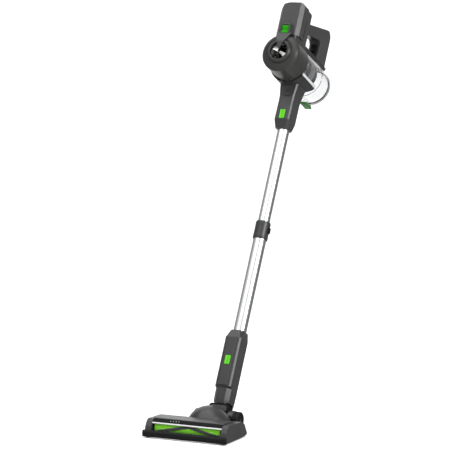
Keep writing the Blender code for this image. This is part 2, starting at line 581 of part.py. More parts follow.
def top_cover():
    inner = HEAD_W / 2 - CAP_W - GAP
    cover = slab("top_cover", [(-0.1925, 0.0440), (-0.1925, 0.0475), (-0.1880, 0.0485),
                               (-0.1180, 0.0450), (-0.1000, 0.0365), (-0.0830, 0.0090),
                               (-0.0830, 0.0070)], -inner, inner, "yz", "shell", head)
    base_z = DOME_TOP - DOME_R
    dome = [(0, DOME_TOP)]
    dome += [(DOME_R * math.sin(math.radians(a)), base_z + DOME_R * math.cos(math.radians(a)))
             for a in range(12, 73, 12)]
    dome += [(0, dome[-1][1])]
    skin = DOME_R - WALL
    hollow = [(0, DOME_TOP - WALL)]
    hollow += [(skin * math.sin(math.radians(a)), base_z + skin * math.cos(math.radians(a)))
               for a in range(12, 85, 12)]
    hollow += [(0, hollow[-1][1])]
    outer = turned("dome", dome, None, head, (0, DOME_Y, 0), (0, 0, 0.05), BIG_ROUND)
    combine(cover, [outer], "UNION")
    room = slab("cover_room", [(-0.1900, 0.0400), (-0.1880, 0.0460), (-0.1180, 0.0425),
                               (-0.1015, 0.0345), (-0.0855, 0.0085), (-0.0820, 0.0010),
                               (-0.1900, 0.0010)], -inner - 0.01, inner + 0.01, "yz", None, head)
    inside = turned("dome_room", hollow, None, head, (0, DOME_Y, 0), (0, 0, 0.05), BIG_ROUND)
    neck_room = block("neck_room", (-0.08, -0.0330, 0.0), (0.08, 0.05, 0.12), None, head)
    arm_room = block("arm_room", (-0.0475, -0.0950, 0.0), (0.0475, -0.0200, 0.0310), None, head)
    combine(cover, [room, inside, neck_room, arm_room])


def side_outline():
    """Side of the floor head, (y, z)."""
    return [(-0.2120, 0.0030), (-0.2135, 0.0060), (-0.2135, 0.0200), (-0.2090, 0.0310),
            (-0.2010, 0.0430), (-0.1930, 0.0480), (-0.1180, 0.0450), (-0.1000, 0.0365),
            (-0.0830, 0.0090), (-0.0870, 0.0040), (-0.1200, 0.0020)]


def head_shells():
    half = HEAD_W / 2
    for side, name in ((-1, "end_cap_right"), (1, "end_cap_left")):
        low, high = sorted((side * (half - CAP_W), side * half))
        cap = slab(name, side_outline(), low, high, "yz", "shell", head, 0.003, 2, 50)
        near, far = sorted((side * 0.1040, side * 0.1180))
        combine(cap, [block(name + "_roller_pocket", (near, -0.2115, -0.01), (far, -0.1965, 0.0140),
                            None, head)])
        turned("front_roller_" + name[8:], [(0, 0.0055), (0.0050, 0.0055), (0.0062, 0.0045),
                                            (0.0062, -0.0045), (0.0050, -0.0055), (0, -0.0055)],
               "rubber", head, (side * 0.1110, -0.2040, 0.0062), ALONG_X, 16)
        turned("rear_wheel_" + name[8:], [(0.0205, 0.008), (WHEEL_R, 0.0062), (WHEEL_R, -0.0062),
                                          (0.0205, -0.008), (0.0031, -0.008), (0.0031, 0.008)],
               "rubber", head, (side * 0.0585, WHEEL_Y, WHEEL_R), ALONG_X, 28)
    block("front_bumper", (-half - 0.0030, -0.2225, 0.0030), (half + 0.0030, -0.2138, 0.0215),
          "rubber", head, 0.0030)
    inner = half - CAP_W - GAP
    block("window_bar", (-inner, -0.2030, 0.0392), (inner, -0.1975, 0.0424), "silver", head,
          0.0008, 1)
    block("led_strip", (-inner, -0.1985, 0.0427), (inner, -0.1930, 0.0470), "black", head,
          0.0006, 1)


def brush_pieces():
    left, right = BRUSH_LEFT, 0.0965
    at = (0, BRUSH_Y, BRUSH_Z)
    core = [(0, right + 0.0045), (0.0030, right + 0.0045), (0.0030, right), (0.0125, right),
            (0.0125, left), (0.0100, left), (0.0100, left - 0.0010), (0.0090, left - 0.0010),
            (0.0090, left - 0.0065), (0.0030, left - 0.0065), (0.0030, -0.1010), (0, -0.1010)]
    turned("brush_core", core, "green", head, at, ALONG_X)
    for name, start in (("bristle_strip_a", math.radians(142)), ("bristle_strip_b", math.radians(322))):
        bristle_strip(name, start, left + 0.002, right - 0.002)
    ring = [(0.0065, 0.0015), (0.0065, -0.0015), (0.0033, -0.0015), (0.0033, 0.0015)]
    turned("brush_bearing_left", ring, "steel", head, (0.0992, BRUSH_Y, BRUSH_Z), ALONG_X, 16)
    turned("brush_bearing_right", ring, "steel", head, (-0.1000, BRUSH_Y, BRUSH_Z), ALONG_X, 16)
    motor_at = (0, MOTOR_Y, MOTOR_Z)
    turned("brush_motor", [(0, -0.0400), (0.0140, -0.0400), (0.0155, -0.0415), (0.0155, -0.0865),
                           (0.0140, -0.0880), (0, -0.0880)], "steel", head, motor_at, ALONG_X)
    turned("motor_pulley", [(0, -0.0890), (0.0025, -0.0890), (0.0025, -0.0915), (0.0060, -0.0915),
                            (0.0060, -0.0985), (0, -0.0985)], "black", head, motor_at, ALONG_X, 16)
    drive_belt()
    ribs = [(0.0128 if index % 2 else 0.0112, -0.0005 - 0.0062 * index) for index in range(19)]
    bore = [(0.0095, ribs[-1][1]), (0.0095, ribs[0][1])]
    turned("air_hose", ribs + bore, "rubber", head, (0.0, -0.0360, 0.0245),
           (math.radians(-90), 0, 0), 16)


def bristle_strip(name, start, left, right):
    """A soft helical strip that stands on the brush core, swept to a V at the middle."""
    sections = []
    steps = 22
    for step in range(steps + 1):
        x = left + (right - left) * step / steps
        turn = start + abs(2 * step / steps - 1) * math.radians(64)
        section = []
        for radius, spread in ((0.0146, 0.42), (BRUSH_R, 0.30), (BRUSH_R, -0.30), (0.0146, -0.42)):
            angle = turn + spread
            section.append((x, radius * math.cos(angle), radius * math.sin(angle)))
        sections.append(section)
    strip = loft(name, sections, "bristle", head)
    strip.location = (0, BRUSH_Y, BRUSH_Z)


def drive_belt():
    """The toothed belt's loop, between the motor pulley and the brush pulley."""
    span = Vector((BRUSH_Y - MOTOR_Y, BRUSH_Z - MOTOR_Z))
    slope = math.degrees(math.atan2(span.y, span.x))
    loops = []
    for extra in (0.0018, 0.0003):
        big, small = 0.0090 + extra, 0.0060 + extra
        lean = math.degrees(math.asin((big - small) / span.length))
        loops.append(arc(big, slope - 90 - lean, slope + 90 + lean, 14, (BRUSH_Y, BRUSH_Z))
                     + arc(small, slope + 90 + lean, slope + 270 - lean, 10, (MOTOR_Y, MOTOR_Z)))
    belt = slab("drive_belt", loops[0], -0.0975, -0.0928, "yz", "rubber", head)
    combine(belt, [slab("belt_inside", loops[1], -0.11, -0.08, "yz", None, head)])


drum_pieces()
cup_pieces()
frame_pieces()
battery_pieces()
handle_pieces()
nozzle_pieces()
wand_pieces()
connector_pieces()
neck_pieces()
base_plate()
top_cover()
head_shells()
brush_pieces()
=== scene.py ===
"""Looks of the cordless stick vacuum: moulded dark grey shells, steel wand, clear dust cup and a
floor head with a soft green roller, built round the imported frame.  Metres, +Z up, front towards -Y.
"""
import json
import math

import bmesh
import bpy
from mathutils import Matrix, Vector


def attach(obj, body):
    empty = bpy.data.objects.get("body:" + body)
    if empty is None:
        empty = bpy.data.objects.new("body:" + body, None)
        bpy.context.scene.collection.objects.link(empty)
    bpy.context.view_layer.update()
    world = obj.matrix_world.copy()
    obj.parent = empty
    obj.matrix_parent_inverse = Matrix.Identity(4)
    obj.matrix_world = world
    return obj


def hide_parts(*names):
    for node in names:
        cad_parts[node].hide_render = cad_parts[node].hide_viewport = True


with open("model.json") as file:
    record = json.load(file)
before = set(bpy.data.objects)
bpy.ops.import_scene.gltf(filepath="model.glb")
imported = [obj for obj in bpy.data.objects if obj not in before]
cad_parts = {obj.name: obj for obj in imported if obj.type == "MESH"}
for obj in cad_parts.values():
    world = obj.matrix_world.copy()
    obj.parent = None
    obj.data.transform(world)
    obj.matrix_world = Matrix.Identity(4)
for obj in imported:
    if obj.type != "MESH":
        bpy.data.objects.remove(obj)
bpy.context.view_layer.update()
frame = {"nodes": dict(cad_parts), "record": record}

# ---- dimensions shared with the frame -------------------------------------------------------
LEAN = math.radians(28.3)
AXLE_Y, AXLE_Z = -0.23205, 0.028
DRUM_T, DRUM_R = 1.018, 0.0545
SADDLE_R = DRUM_R + 0.0013
BOX_W, BOX_FRONT, BOX_BACK, BOX_TOP = 0.063, -0.107, -0.036, 1.175
FOOT, PLINTH = 1.0768, -0.1215
HEAD_W, CAP_W = 0.239, 0.017
INNER = HEAD_W / 2 - CAP_W - 0.0003
BRUSH = (-0.183, 0.0235)
WHEEL_R, WHEEL_Y = 0.0235, -0.014
DOME_TOP = 0.0695

STICK = Matrix.Translation((0, AXLE_Y, AXLE_Z)) @ Matrix.Rotation(-LEAN, 4, "X")
DRUM = STICK @ Matrix.Translation((0, 0, DRUM_T)) @ Matrix.Rotation(math.radians(-90), 4, "X")
TUBE_U = 0.0060
TUBES = STICK @ Matrix.Translation((0, TUBE_U, 0))
PIN_Y, PIN_Z = -0.0590, 0.1265
LID = DRUM @ Matrix.Translation((0, PIN_Y, PIN_Z))
LATCH = DRUM @ Matrix.Translation((0, 0.0635, 0.106))
HEAD = Matrix.Translation((0, AXLE_Y, 0))
TO_X = Matrix.Rotation(math.radians(90), 4, "Y")


# ---- materials ------------------------------------------------------------------------------
class Look:
    """A procedural Principled material, built up in steps."""

    def __init__(self, name, roughness=0.4, metallic=0.0, **inputs):
        self.material = bpy.data.materials.new(name)
        self.material.use_nodes = True
        self.tree = self.material.node_tree
        self.shader = self.tree.nodes["Principled BSDF"]
        self.shader.inputs["Roughness"].default_value = roughness
        self.shader.inputs["Metallic"].default_value = metallic
        for key, value in inputs.items():
            self.shader.inputs[key.replace("_", " ")].default_value = value
        self.place = self.node("ShaderNodeTexCoord").outputs["Object"]
        self.bumped = None

    def node(self, kind, **values):
        made = self.tree.nodes.new(kind)
        for key, value in values.items():
            made.inputs[key.replace("_", " ")].default_value = value
        return made

    def link(self, source, target):
        self.tree.links.new(source, target)

    def stretched(self, scale):
        mapping = self.node("ShaderNodeMapping", Scale=scale)
        self.link(self.place, mapping.inputs["Vector"])
        return mapping.outputs["Vector"]

    def noise(self, scale, detail=3.0, stretch=None):
        made = self.node("ShaderNodeTexNoise", Scale=scale, Detail=detail)
        self.link(self.stretched(stretch) if stretch else self.place, made.inputs["Vector"])
        return made.outputs["Fac"]

    def ramp(self, source, low, high, start=0.3, end=0.7):
        made = self.node("ShaderNodeValToRGB")
        made.color_ramp.elements[0].position = start
        made.color_ramp.elements[1].position = end
        made.color_ramp.elements[0].color = (*low, 1)
        made.color_ramp.elements[1].color = (*high, 1)
        self.link(source, made.inputs["Fac"])
        return made.outputs["Color"]

    def colour(self, source, low, high, start=0.3, end=0.7):
        self.link(self.ramp(source, low, high, start, end), self.shader.inputs["Base Color"])
        return self

    def rough(self, source, low, high):
        made = self.node("ShaderNodeMapRange", To_Min=low, To_Max=high)
        self.link(source, made.inputs["Value"])
        self.link(made.outputs["Result"], self.shader.inputs["Roughness"])
        return self

    def bump(self, source, height, strength=1.0):
        made = self.node("ShaderNodeBump", Distance=height, Strength=strength)
        self.link(source, made.inputs["Height"])
        if self.bumped:
            self.link(self.bumped, made.inputs["Normal"])
        self.bumped = made.outputs["Normal"]
        self.link(self.bumped, self.shader.inputs["Normal"])
        return self


def moulded(name, colour, roughness, grain=1400.0, depth=0.00004, **inputs):
    """Moulded plastic: spark-eroded grain, faint mottling and uneven gloss."""
    look = Look(name, roughness, **inputs)
    dark = tuple(c * 0.90 for c in colour)
    light = tuple(c * 1.08 for c in colour)
    look.colour(look.noise(14.0, 4.0), dark, light)
    look.rough(look.noise(55.0, 5.0), roughness - 0.06, roughness + 0.06)
    look.bump(look.noise(grain, 2.0), depth, 0.6)
    return look.material


def steel(name, colour, roughness, streaks):
    """Polished steel with fine drawing lines along the piece."""
    look = Look(name, roughness, 1.0)
    lines = look.noise(1.0, 4.0, streaks)
    look.colour(lines, tuple(c * 0.90 for c in colour), tuple(min(1, c * 1.04) for c in colour))
    look.rough(look.noise(1.0, 3.0, tuple(s * 0.5 for s in streaks)), roughness - 0.05, roughness + 0.06)
    look.bump(lines, 0.00001, 0.5)
    return look.material


def clear(name, tint):
    """Clear moulded polycarbonate with slight flow ripples."""
    roughness = 0.02
    look = Look(name, roughness, 0.0, Transmission_Weight=1.0, IOR=1.30)
    look.colour(look.noise(9.0, 2.0), tuple(c * 0.985 for c in tint), tint)
    look.rough(look.noise(40.0), roughness, roughness + 0.03)
    look.bump(look.noise(25.0, 1.0), 0.0003, 0.3)
    return look.material


def nap(name, dark, light):
    """Soft nylon nap: dense little fibres in streaks."""
    look = Look(name, 0.9, 0.0, Sheen_Weight=0.3)
    fibres = look.noise(1.0, 5.0, (900.0, 2200.0, 2200.0))
    look.colour(fibres, dark, light)
    look.bump(fibres, 0.0009)
    look.bump(look.noise(140.0, 3.0), 0.0012, 0.7)
    return look.material


def woven(name, low, high, scale):
    """Wire mesh: crossed waves as bright wires over dark holes."""
    look = Look(name, 0.28, 0.5)
    waves = []
    for direction in ("Z", "Y"):
        wave = look.node("ShaderNodeTexWave", Scale=scale)
        wave.bands_direction = direction
        look.link(look.place, wave.inputs["Vector"])
        waves.append(wave.outputs["Fac"])
    crossed = look.node("ShaderNodeMath")
    crossed.operation = "MAXIMUM"
    look.link(waves[0], crossed.inputs[0])
    look.link(waves[1], crossed.inputs[1])
    look.colour(crossed.outputs["Value"], low, high, 0.45, 0.8)
    look.bump(crossed.outputs["Value"], 0.0002)
    return look.material


def pleated(name, colour):
    look = Look(name, 0.95)
    look.colour(look.noise(300.0, 6.0), tuple(c * 0.85 for c in colour), colour)
    wave = look.node("ShaderNodeTexWave", Scale=90.0, Distortion=0.6)
    look.link(look.place, wave.inputs["Vector"])
    look.bump(wave.outputs["Fac"], 0.001)
    return look.material


LOOKS = {
    "shell": moulded("shell_plastic", (0.024, 0.024, 0.025), 0.34, Specular_IOR_Level=0.36),
    "shell_drum": moulded("drum_plastic", (0.024, 0.024, 0.023), 0.32, IOR=1.32),
    # the shaded copy: a darker, duller version of the shell plastic, painted shade for the cradle under
    # the cup
    "shade": moulded("shaded_plastic", (0.022, 0.022, 0.022), 0.45, IOR=1.25),
    "black": moulded("black_plastic", (0.003, 0.003, 0.0033), 0.42, IOR=1.18),
    "gloss_black": moulded("glossy_black_plastic", (0.003, 0.003, 0.0035), 0.22, 300.0, 0.00001,
                           IOR=1.18),
    "rubber": moulded("soft_rubber", (0.005, 0.005, 0.0055), 0.55, 2200.0, 0.00008, IOR=1.25),
    "green": moulded("green_plastic", (0.085, 0.42, 0.012), 0.30, 1800.0, 0.00002,
                     Specular_IOR_Level=0.2),
    "dark_green": moulded("dark_green_plastic", (0.014, 0.230, 0.001), 0.36, 1800.0, 0.00002,
                          Specular_IOR_Level=0.12),
    "deep_green": moulded("deep_green_plastic", (0.005, 0.095, 0.001), 0.40, 1800.0, 0.00002,
                          Specular_IOR_Level=0.2),
    # the pale grey for the strips along the cradle's upper edges is painted highlight of the cradle's lit
    # edge
    "pale": moulded("painted_highlight_plastic", (0.42, 0.42, 0.42), 0.25, 900.0, 0.00002),
    "cell_wrap": moulded("cell_shrink_wrap", (0.05, 0.30, 0.45), 0.35, 500.0, 0.00005),
    "board": moulded("circuit_board", (0.02, 0.16, 0.07), 0.55, 700.0, 0.0001),
    "steel": steel("drawn_steel", (0.81, 0.82, 0.83), 0.20, (900.0, 900.0, 5.0)),
    "bright_metal": moulded("bright_metal", (0.80, 0.80, 0.80), 0.35, 900.0, 0.00002, Metallic=0.35),
    "silver": steel("satin_silver", (0.52, 0.52, 0.53), 0.28, (6.0, 700.0, 700.0)),
    "clear": clear("clear_plastic", (0.855, 0.86, 0.865)),
    "filter": pleated("pleated_paper", (0.80, 0.80, 0.76)),
    "mesh": woven("steel_gauze", (0.003, 0.003, 0.003), (0.14, 0.14, 0.15), 230.0),
    "bristle": nap("dark_bristles", (0.008, 0.008, 0.009), (0.045, 0.045, 0.048)),
    "green_nap": nap("green_nap", (0.070, 0.36, 0.005), (0.30, 0.86, 0.016)),
    "lamp": Look("lamp_lens", 0.15, 0.0),
}
lamp = LOOKS["lamp"]
lamp.colour(lamp.noise(600.0), (0.20, 0.21, 0.21), (0.34, 0.35, 0.36))
LOOKS["lamp"] = lamp.material


# ---- mesh helpers ---------------------------------------------------------------------------
def rounded(points, radius, steps=5, closed=True):
    """The outline with each corner turned into an arc, no longer than half its shorter side.
    A point may carry its own radius as a third number."""
    made = []
    count = len(points)
    for index, point in enumerate(points):
        here = Vector(point[:2])
        own = point[2] if len(point) > 2 else radius
        if not closed and index in (0, count - 1):
            made.append(tuple(here))
            continue
        before = Vector(points[index - 1][:2]) - here
        after = Vector(points[(index + 1) % count][:2]) - here
        turn = before.angle(after)
        if own <= 0 or turn > 3.05:
            made.append(tuple(here))
            continue
        reach = min(own / math.tan(turn / 2), 0.49 * before.length, 0.49 * after.length)
        start, end = here + before.normalized() * reach, here + after.normalized() * reach
        for step in range(steps + 1):
            s = step / steps
            made.append(tuple(start * (1 - s) ** 2 + here * 2 * s * (1 - s) + end * s ** 2))
    return made


def lathe(profile, steps=96, corner=0.0006):
    """A profile of (radius, height) turned about Z; one that starts and ends on the axis is solid."""
    solid = profile[0][0] == 0
    points = rounded(profile, corner, 4, closed=not solid)
    bm = bmesh.new()
    rings = []
    for radius, height in points:
        if radius < 1e-7:
            rings.append([bm.verts.new((0, 0, height))])
        else:
            rings.append([bm.verts.new((radius * math.cos(math.tau * k / steps),
                                        radius * math.sin(math.tau * k / steps), height))
                          for k in range(steps)])
    pairs = list(zip(rings, rings[1:])) + ([] if solid else [(rings[-1], rings[0])])
    for a, b in pairs:
        for k in range(steps):
            n = (k + 1) % steps
            if len(a) == 1:
                bm.faces.new((a[0], b[k], b[n]))
            elif len(b) == 1:
                bm.faces.new((a[k], b[0], a[n]))
            else:
                bm.faces.new((a[k], b[k], b[n], a[n]))
    return bm


def loft(sections):
    """A closed skin through sections with the same number of points."""
    bm = bmesh.new()
    rings = [[bm.verts.new(point) for point in section] for section in sections]
    for lower, upper in zip(rings, rings[1:]):
        for index, corner in enumerate(lower):
            following = (index + 1) % len(lower)
            bm.faces.new((corner, lower[following], upper[following], upper[index]))
    bm.faces.new(rings[0])
    bm.faces.new(rings[-1])
    return bm


AXES = {"xy": lambda a, b, h: (a, b, h), "yz": lambda a, b, h: (h, a, b),
        "xz": lambda a, b, h: (a, h, b)}


def prism(outline, low, high, plane):
    """A flat outline given its thickness along the plane's normal."""
    return loft([[AXES[plane](a, b, h) for a, b in outline] for h in (low, high)])


def cuboid(low, high):
    low, high = Vector(low), Vector(high)
    bm = bmesh.new()
    matrix = Matrix.Translation((low + high) / 2) @ Matrix.Diagonal((*(high - low), 1))
    bmesh.ops.create_cube(bm, size=1, matrix=matrix)
    return bm


def bar(start, end, radius, tip=None, sides=48):
    start, end = Vector(start), Vector(end)
    along = end - start
    bm = bmesh.new()
    bmesh.ops.create_cone(bm, cap_ends=True, segments=sides, radius1=radius,
                          radius2=radius if tip is None else tip, depth=along.length,
                          matrix=Matrix.Translation((start + end) / 2)
                          @ along.to_track_quat("Z", "Y").to_matrix().to_4x4())
    return bm


def arc(radius, start, end, steps):
    """Points round the origin, with the start and end in degrees."""
    return [(radius * math.cos(math.radians(start + (end - start) * k / steps)),
             radius * math.sin(math.radians(start + (end - start) * k / steps)))
            for k in range(steps + 1)]


def ball_top(radius, base, last):
    """Profile of a ball's top centred at height base, closed flat at the last angle in degrees."""
    curve = [(radius * math.sin(math.radians(a)), base + radius * math.cos(math.radians(a)))
             for a in range(4, last + 1, 4)]
    return [(0, base + radius)] + curve + [(0, curve[-1][1])]


def octagon(t, half, front, back, cut, back_cut=None):
    """A box section with its corners cut off, at height t."""
    rear = cut if back_cut is None else back_cut
    return [(half, front + cut, t), (half, back - rear, t), (half - rear, back, t),
            (rear - half, back, t), (-half, back - rear, t), (-half, front + cut, t),
            (cut - half, front, t), (half - cut, front, t)]


def as_object(name, bm, matrix=Matrix.Identity(4)):
    bmesh.ops.remove_doubles(bm, verts=bm.verts, dist=1e-6)
    bmesh.ops.recalc_face_normals(bm, faces=bm.faces)
    mesh = bpy.data.meshes.new(name)
    bm.to_mesh(mesh)
    bm.free()
    obj = bpy.data.objects.new(name, mesh)
    bpy.context.scene.collection.objects.link(obj)
    obj.matrix_world = matrix
    return obj


def settle(obj):
    """Puts the modifiers' result into the mesh."""
    bpy.context.view_layer.update()
    source = obj.evaluated_get(bpy.context.evaluated_depsgraph_get())
    mesh = bpy.data.meshes.new_from_object(source)
    obj.modifiers.clear()
    obj.data = mesh


def carve(obj, tools, operation="DIFFERENCE"):
    """Cut shapes out of the object, or join them to it."""
    made = []
    for bm in tools:
        tool = as_object("tool", bm, obj.matrix_world)
        made.append(tool)
        change = obj.modifiers.new("Carve", "BOOLEAN")
        change.operation, change.solver, change.object = operation, "EXACT", tool
    settle(obj)
    for tool in made:
        bpy.data.objects.remove(tool, do_unlink=True)


def bevel(obj, width, segments=3, angle=30):
    edge = obj.modifiers.new("Rounded edges", "BEVEL")
    edge.width, edge.segments = width, segments
    edge.limit_method, edge.angle_limit = "ANGLE", math.radians(angle)
    edge.harden_normals = False
    edge.miter_outer = "MITER_ARC"


def finish(obj, look, body, slot, *nodes, soft=40):
    """Smooth faces, material, body and the frame's nodes that the piece stands for."""
    if obj.modifiers:
        settle(obj)
    obj.data.materials.clear()
    obj.data.materials.append(LOOKS[look])
    obj.data.shade_smooth()
    obj.data.set_sharp_from_angle(angle=math.radians(soft))
    flat = obj.modifiers.new("Flat faces stay flat", "WEIGHTED_NORMAL")
    flat.keep_sharp = True
    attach(obj, body)
    if nodes:
        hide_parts(*nodes)
    return obj


def simple(name, bm, matrix, look, body, slot, *nodes, edge=0.0, segments=3, angle=30, cuts=(),
           adds=(), soft=40):
    """The usual order: join, cut, round the edges, finish."""
    obj = as_object(name, bm, matrix)
    if adds:
        carve(obj, adds, "UNION")
    if cuts:
        carve(obj, cuts)
    if edge:
        bevel(obj, edge, segments, angle)
    return finish(obj, look, body, slot, *nodes, soft=soft)


# ---- drum -----------------------------------------------------------------------------------
def drum():
    groove = [(DRUM_R, -0.0655), (0.0538, -0.0658), (0.0538, -0.0664), (DRUM_R, -0.0667)]
    simple("drum_shell", lathe([(DRUM_R, -0.0462)] + groove + [(DRUM_R, -0.1085), (0.0520, -0.1085),
           (0.0520, -0.0492), (0.0200, -0.0492), (0.0200, -0.0462)], 128, 0.0003), DRUM,
           "shell_drum", "main_unit", "shell", "motor_housing")
    rim = -0.1088
    simple("front_ring", lathe([(0.055, rim), (0.0552, rim - 0.0050, 0.003), (0.0528, rim - 0.0098, 0.004),
           (0.0470, rim - 0.0143, 0.006), (0.0385, rim - 0.0176, 0.0012), (0.0368, rim - 0.0158, 0.0008),
           (0.0352, rim - 0.0162, 0.0008), (0.0338, rim - 0.0212, 0.002), (0.0300, rim - 0.0248, 0.0025),
           (0.0268, rim - 0.0248, 0.0012), (0.0255, rim - 0.0225, 0.001), (0.0262, rim - 0.0190),
           (0.0310, rim - 0.0165), (0.034, rim - 0.0140), (0.045, rim - 0.0120),
           (0.0505, rim - 0.0075), (0.0525, rim - 0.003), (0.0525, rim)], 128, 0.0004), DRUM,
           "shell_drum", "main_unit", "shell", "front_cap")
    stations = [(0.0582, -0.1075, 0.0145, 0.0240), (0.0556, -0.1140, 0.0092, 0.0222),
                (0.0528, -0.1190, 0.0056, 0.0205), (0.0470, -0.1240, 0.0033, 0.0180),
                (0.0380, -0.1275, 0.0032, 0.0150), (0.0335, -0.1308, 0.0026, 0.0135),
                (0.0295, -0.1343, 0.0018, 0.0120), (0.0262, -0.1343, 0.0018, 0.0108),
                (0.0100, -0.1334, 0.0016, 0.0040), (0.0035, -0.1330, 0.0014, 0.0010)]
    simple("front_tongue_panel", loft([[(w, back, DRUM_T + up), (w, back - thick, DRUM_T + up),
           (-w, back - thick, DRUM_T + up), (-w, back, DRUM_T + up)] for up, back, thick, w in stations]),
           STICK, "shell", "main_unit", "shell", "front_tongue", edge=0.0006, segments=2, angle=45)
    face = -0.1303
    ring = lathe([(0.0252, face + 0.0035), (0.0252, face), (0.0232, face), (0.0232, face + 0.0035)])
    webs = [prism([(-0.0040, 0.0240), (-0.0009, 0.0026), (0.0009, 0.0026), (0.0040, 0.0240)],
                  face + 0.0004, face + 0.0026, "xy"),
            prism([(-0.0040, -0.0240), (-0.0009, -0.0026), (0.0009, -0.0026), (0.0040, -0.0240)],
                  face + 0.0004, face + 0.0026, "xy"),
            bar((0, 0, face + 0.0002), (0, 0, face + 0.0028), 0.0034)]
    simple("exhaust_spider", ring, DRUM, "black", "main_unit", "black", "exhaust_grille", adds=webs,
           edge=0.0003, segments=2)
    rotor()


def rotor():
    """A broad twisted two-blade fan in front of a ring of thin swept vanes."""
    blade = []
    for step in range(25):
        reach = -0.0218 + 0.0436 * step / 24
        spread = 0.0030 + 0.0045 * (abs(reach) / 0.0218) ** 1.3
        tilt = math.radians(24) * (1 if reach >= 0 else -1) * min(1, abs(reach) / 0.008)
        across = (spread * math.cos(tilt), spread * math.sin(tilt))
        thick = 0.0006
        blade.append([(reach, across[0], -0.1226 + across[1] - thick),
                      (reach, across[0], -0.1226 + across[1] + thick),
                      (reach, -across[0], -0.1226 - across[1] + thick),
                      (reach, -across[0], -0.1226 - across[1] - thick)])
    turn = Matrix.Rotation(math.radians(32), 4, "Z")
    fan = as_object("fan_blade", loft(blade), DRUM @ turn)
    bevel(fan, 0.0004, 2)
    finish(fan, "bright_metal", "impeller", "silver")
    vanes = as_object("fan_vanes", lathe([(0, -0.1170), (0.0045, -0.1170), (0.0070, -0.1150),
                                          (0.0090, -0.0945), (0, -0.0945)], 48), DRUM)
    swept = []
    for k in range(9):
        angle = math.tau * k / 9
        path = [(0.0075 + 0.0155 * s / 8, angle + 0.9 * s / 8) for s in range(9)]
        sections = []
        for radius, turned in path:
            normal = turned + 1.9
            dx, dy = 0.0005 * math.cos(normal), 0.0005 * math.sin(normal)
            x, y = radius * math.cos(turned), radius * math.sin(turned)
            sections.append([(x - dx, y - dy, -0.1165), (x + dx, y + dy, -0.1165),
                             (x + dx, y + dy, -0.1050), (x - dx, y - dy, -0.1050)])
        swept.append(loft(sections))
    carve(vanes, swept, "UNION")
    finish(vanes, "black", "impeller", "silver", "impeller")


# ---- dust cup -------------------------------------------------------------------------------
def cup():
    rib = 0.063
    outer = [(DRUM_R, 0.1255), (DRUM_R, rib + 0.0022), (0.0556, rib + 0.0012),
             (0.0556, rib - 0.0012), (DRUM_R, rib - 0.0022), (DRUM_R, -0.0457)]
    cuts = [bar((-0.03, PIN_Y, PIN_Z), (0.03, PIN_Y, PIN_Z), 0.0014, sides=20)]
    adds = [cuboid((-0.007, 0.0535, 0.1005), (0.007, 0.0580, 0.1115))]
    for s in (-0.013, 0.013):
        adds += [cuboid((s - 0.0039, PIN_Y - 0.0022, 0.116), (s + 0.0039, -0.0530, 0.1252)),
                 bar((s - 0.004, PIN_Y, PIN_Z), (s + 0.004, PIN_Y, PIN_Z), 0.0024)]
    simple("clear_cup", lathe(outer + [(0.0523, -0.0457), (0.0523, 0.1255)], 128, 0.0005), DRUM,
           "clear", "main_unit", "clear", "dust_cup", adds=adds, cuts=cuts)
    lid = lathe([(0, 0.0090), (0.034, 0.0088, 0.01), (0.047, 0.0054, 0.004), (DRUM_R, 0.0020, 0.002),
                 (DRUM_R, -0.0005), (0.050, -0.0005), (0.048, 0.0022, 0.002), (0.034, 0.0064, 0.01),
                 (0, 0.0067)], 128, 0.0005)
    bmesh.ops.translate(lid, vec=(0, -PIN_Y, 0), verts=lid.verts)
    arm = cuboid((-0.0085, -0.0022, -0.0022), (0.0085, 0.0060, 0.0018))
    gap = bar((0, -PIN_Y, -0.03), (0, -PIN_Y, -0.0006), DRUM_R + 0.0007, sides=96)
    lid_obj = as_object("clear_lid", lid, LID)
    arm_obj = as_object("lid_arm", arm, LID)
    carve(arm_obj, [gap])
    arm_bm = bmesh.new()
    arm_bm.from_mesh(arm_obj.data)
    bpy.data.objects.remove(arm_obj, do_unlink=True)
    carve(lid_obj, [arm_bm], "UNION")
    carve(lid_obj, [bar((-0.02, 0, 0), (0.02, 0, 0), 0.0014, sides=20)])
    finish(lid_obj, "clear", "lid", "clear", "cup_lid")
    seal = lathe([(0.0512, -0.0008), (0.0512, -0.0038), (0.0470, -0.0038), (0.0470, -0.0008)],
                 128, 0.0008)
    bmesh.ops.translate(seal, vec=(0, -PIN_Y, 0), verts=seal.verts)
    simple("cup_seal_ring", seal, LID, "rubber", "lid", "rubber", "lid_seal")
    simple("cyclone_cone", lathe([(0, 0.0500), (0.0385, 0.0500, 0.003), (0.0460, 0.0440, 0.003),
           (0.0460, 0.0290), (0.0446, 0.0284), (0.0446, -0.0080), (0.0460, -0.0086), (0.0460, -0.0457),
           (0.0440, -0.0457), (0.0440, 0.0420), (0.0385, 0.0480), (0, 0.0480)], 128, 0.0005), DRUM,
           "gloss_black", "main_unit", "black", "cyclone_shroud")
    simple("cyclone_gauze", lathe([(0.0472, 0.0245), (0.0472, -0.0045), (0.0463, -0.0045),
           (0.0463, 0.0245)], 128, 0.0002), DRUM, "mesh", "main_unit", "silver", "mesh_screen")
    latch()


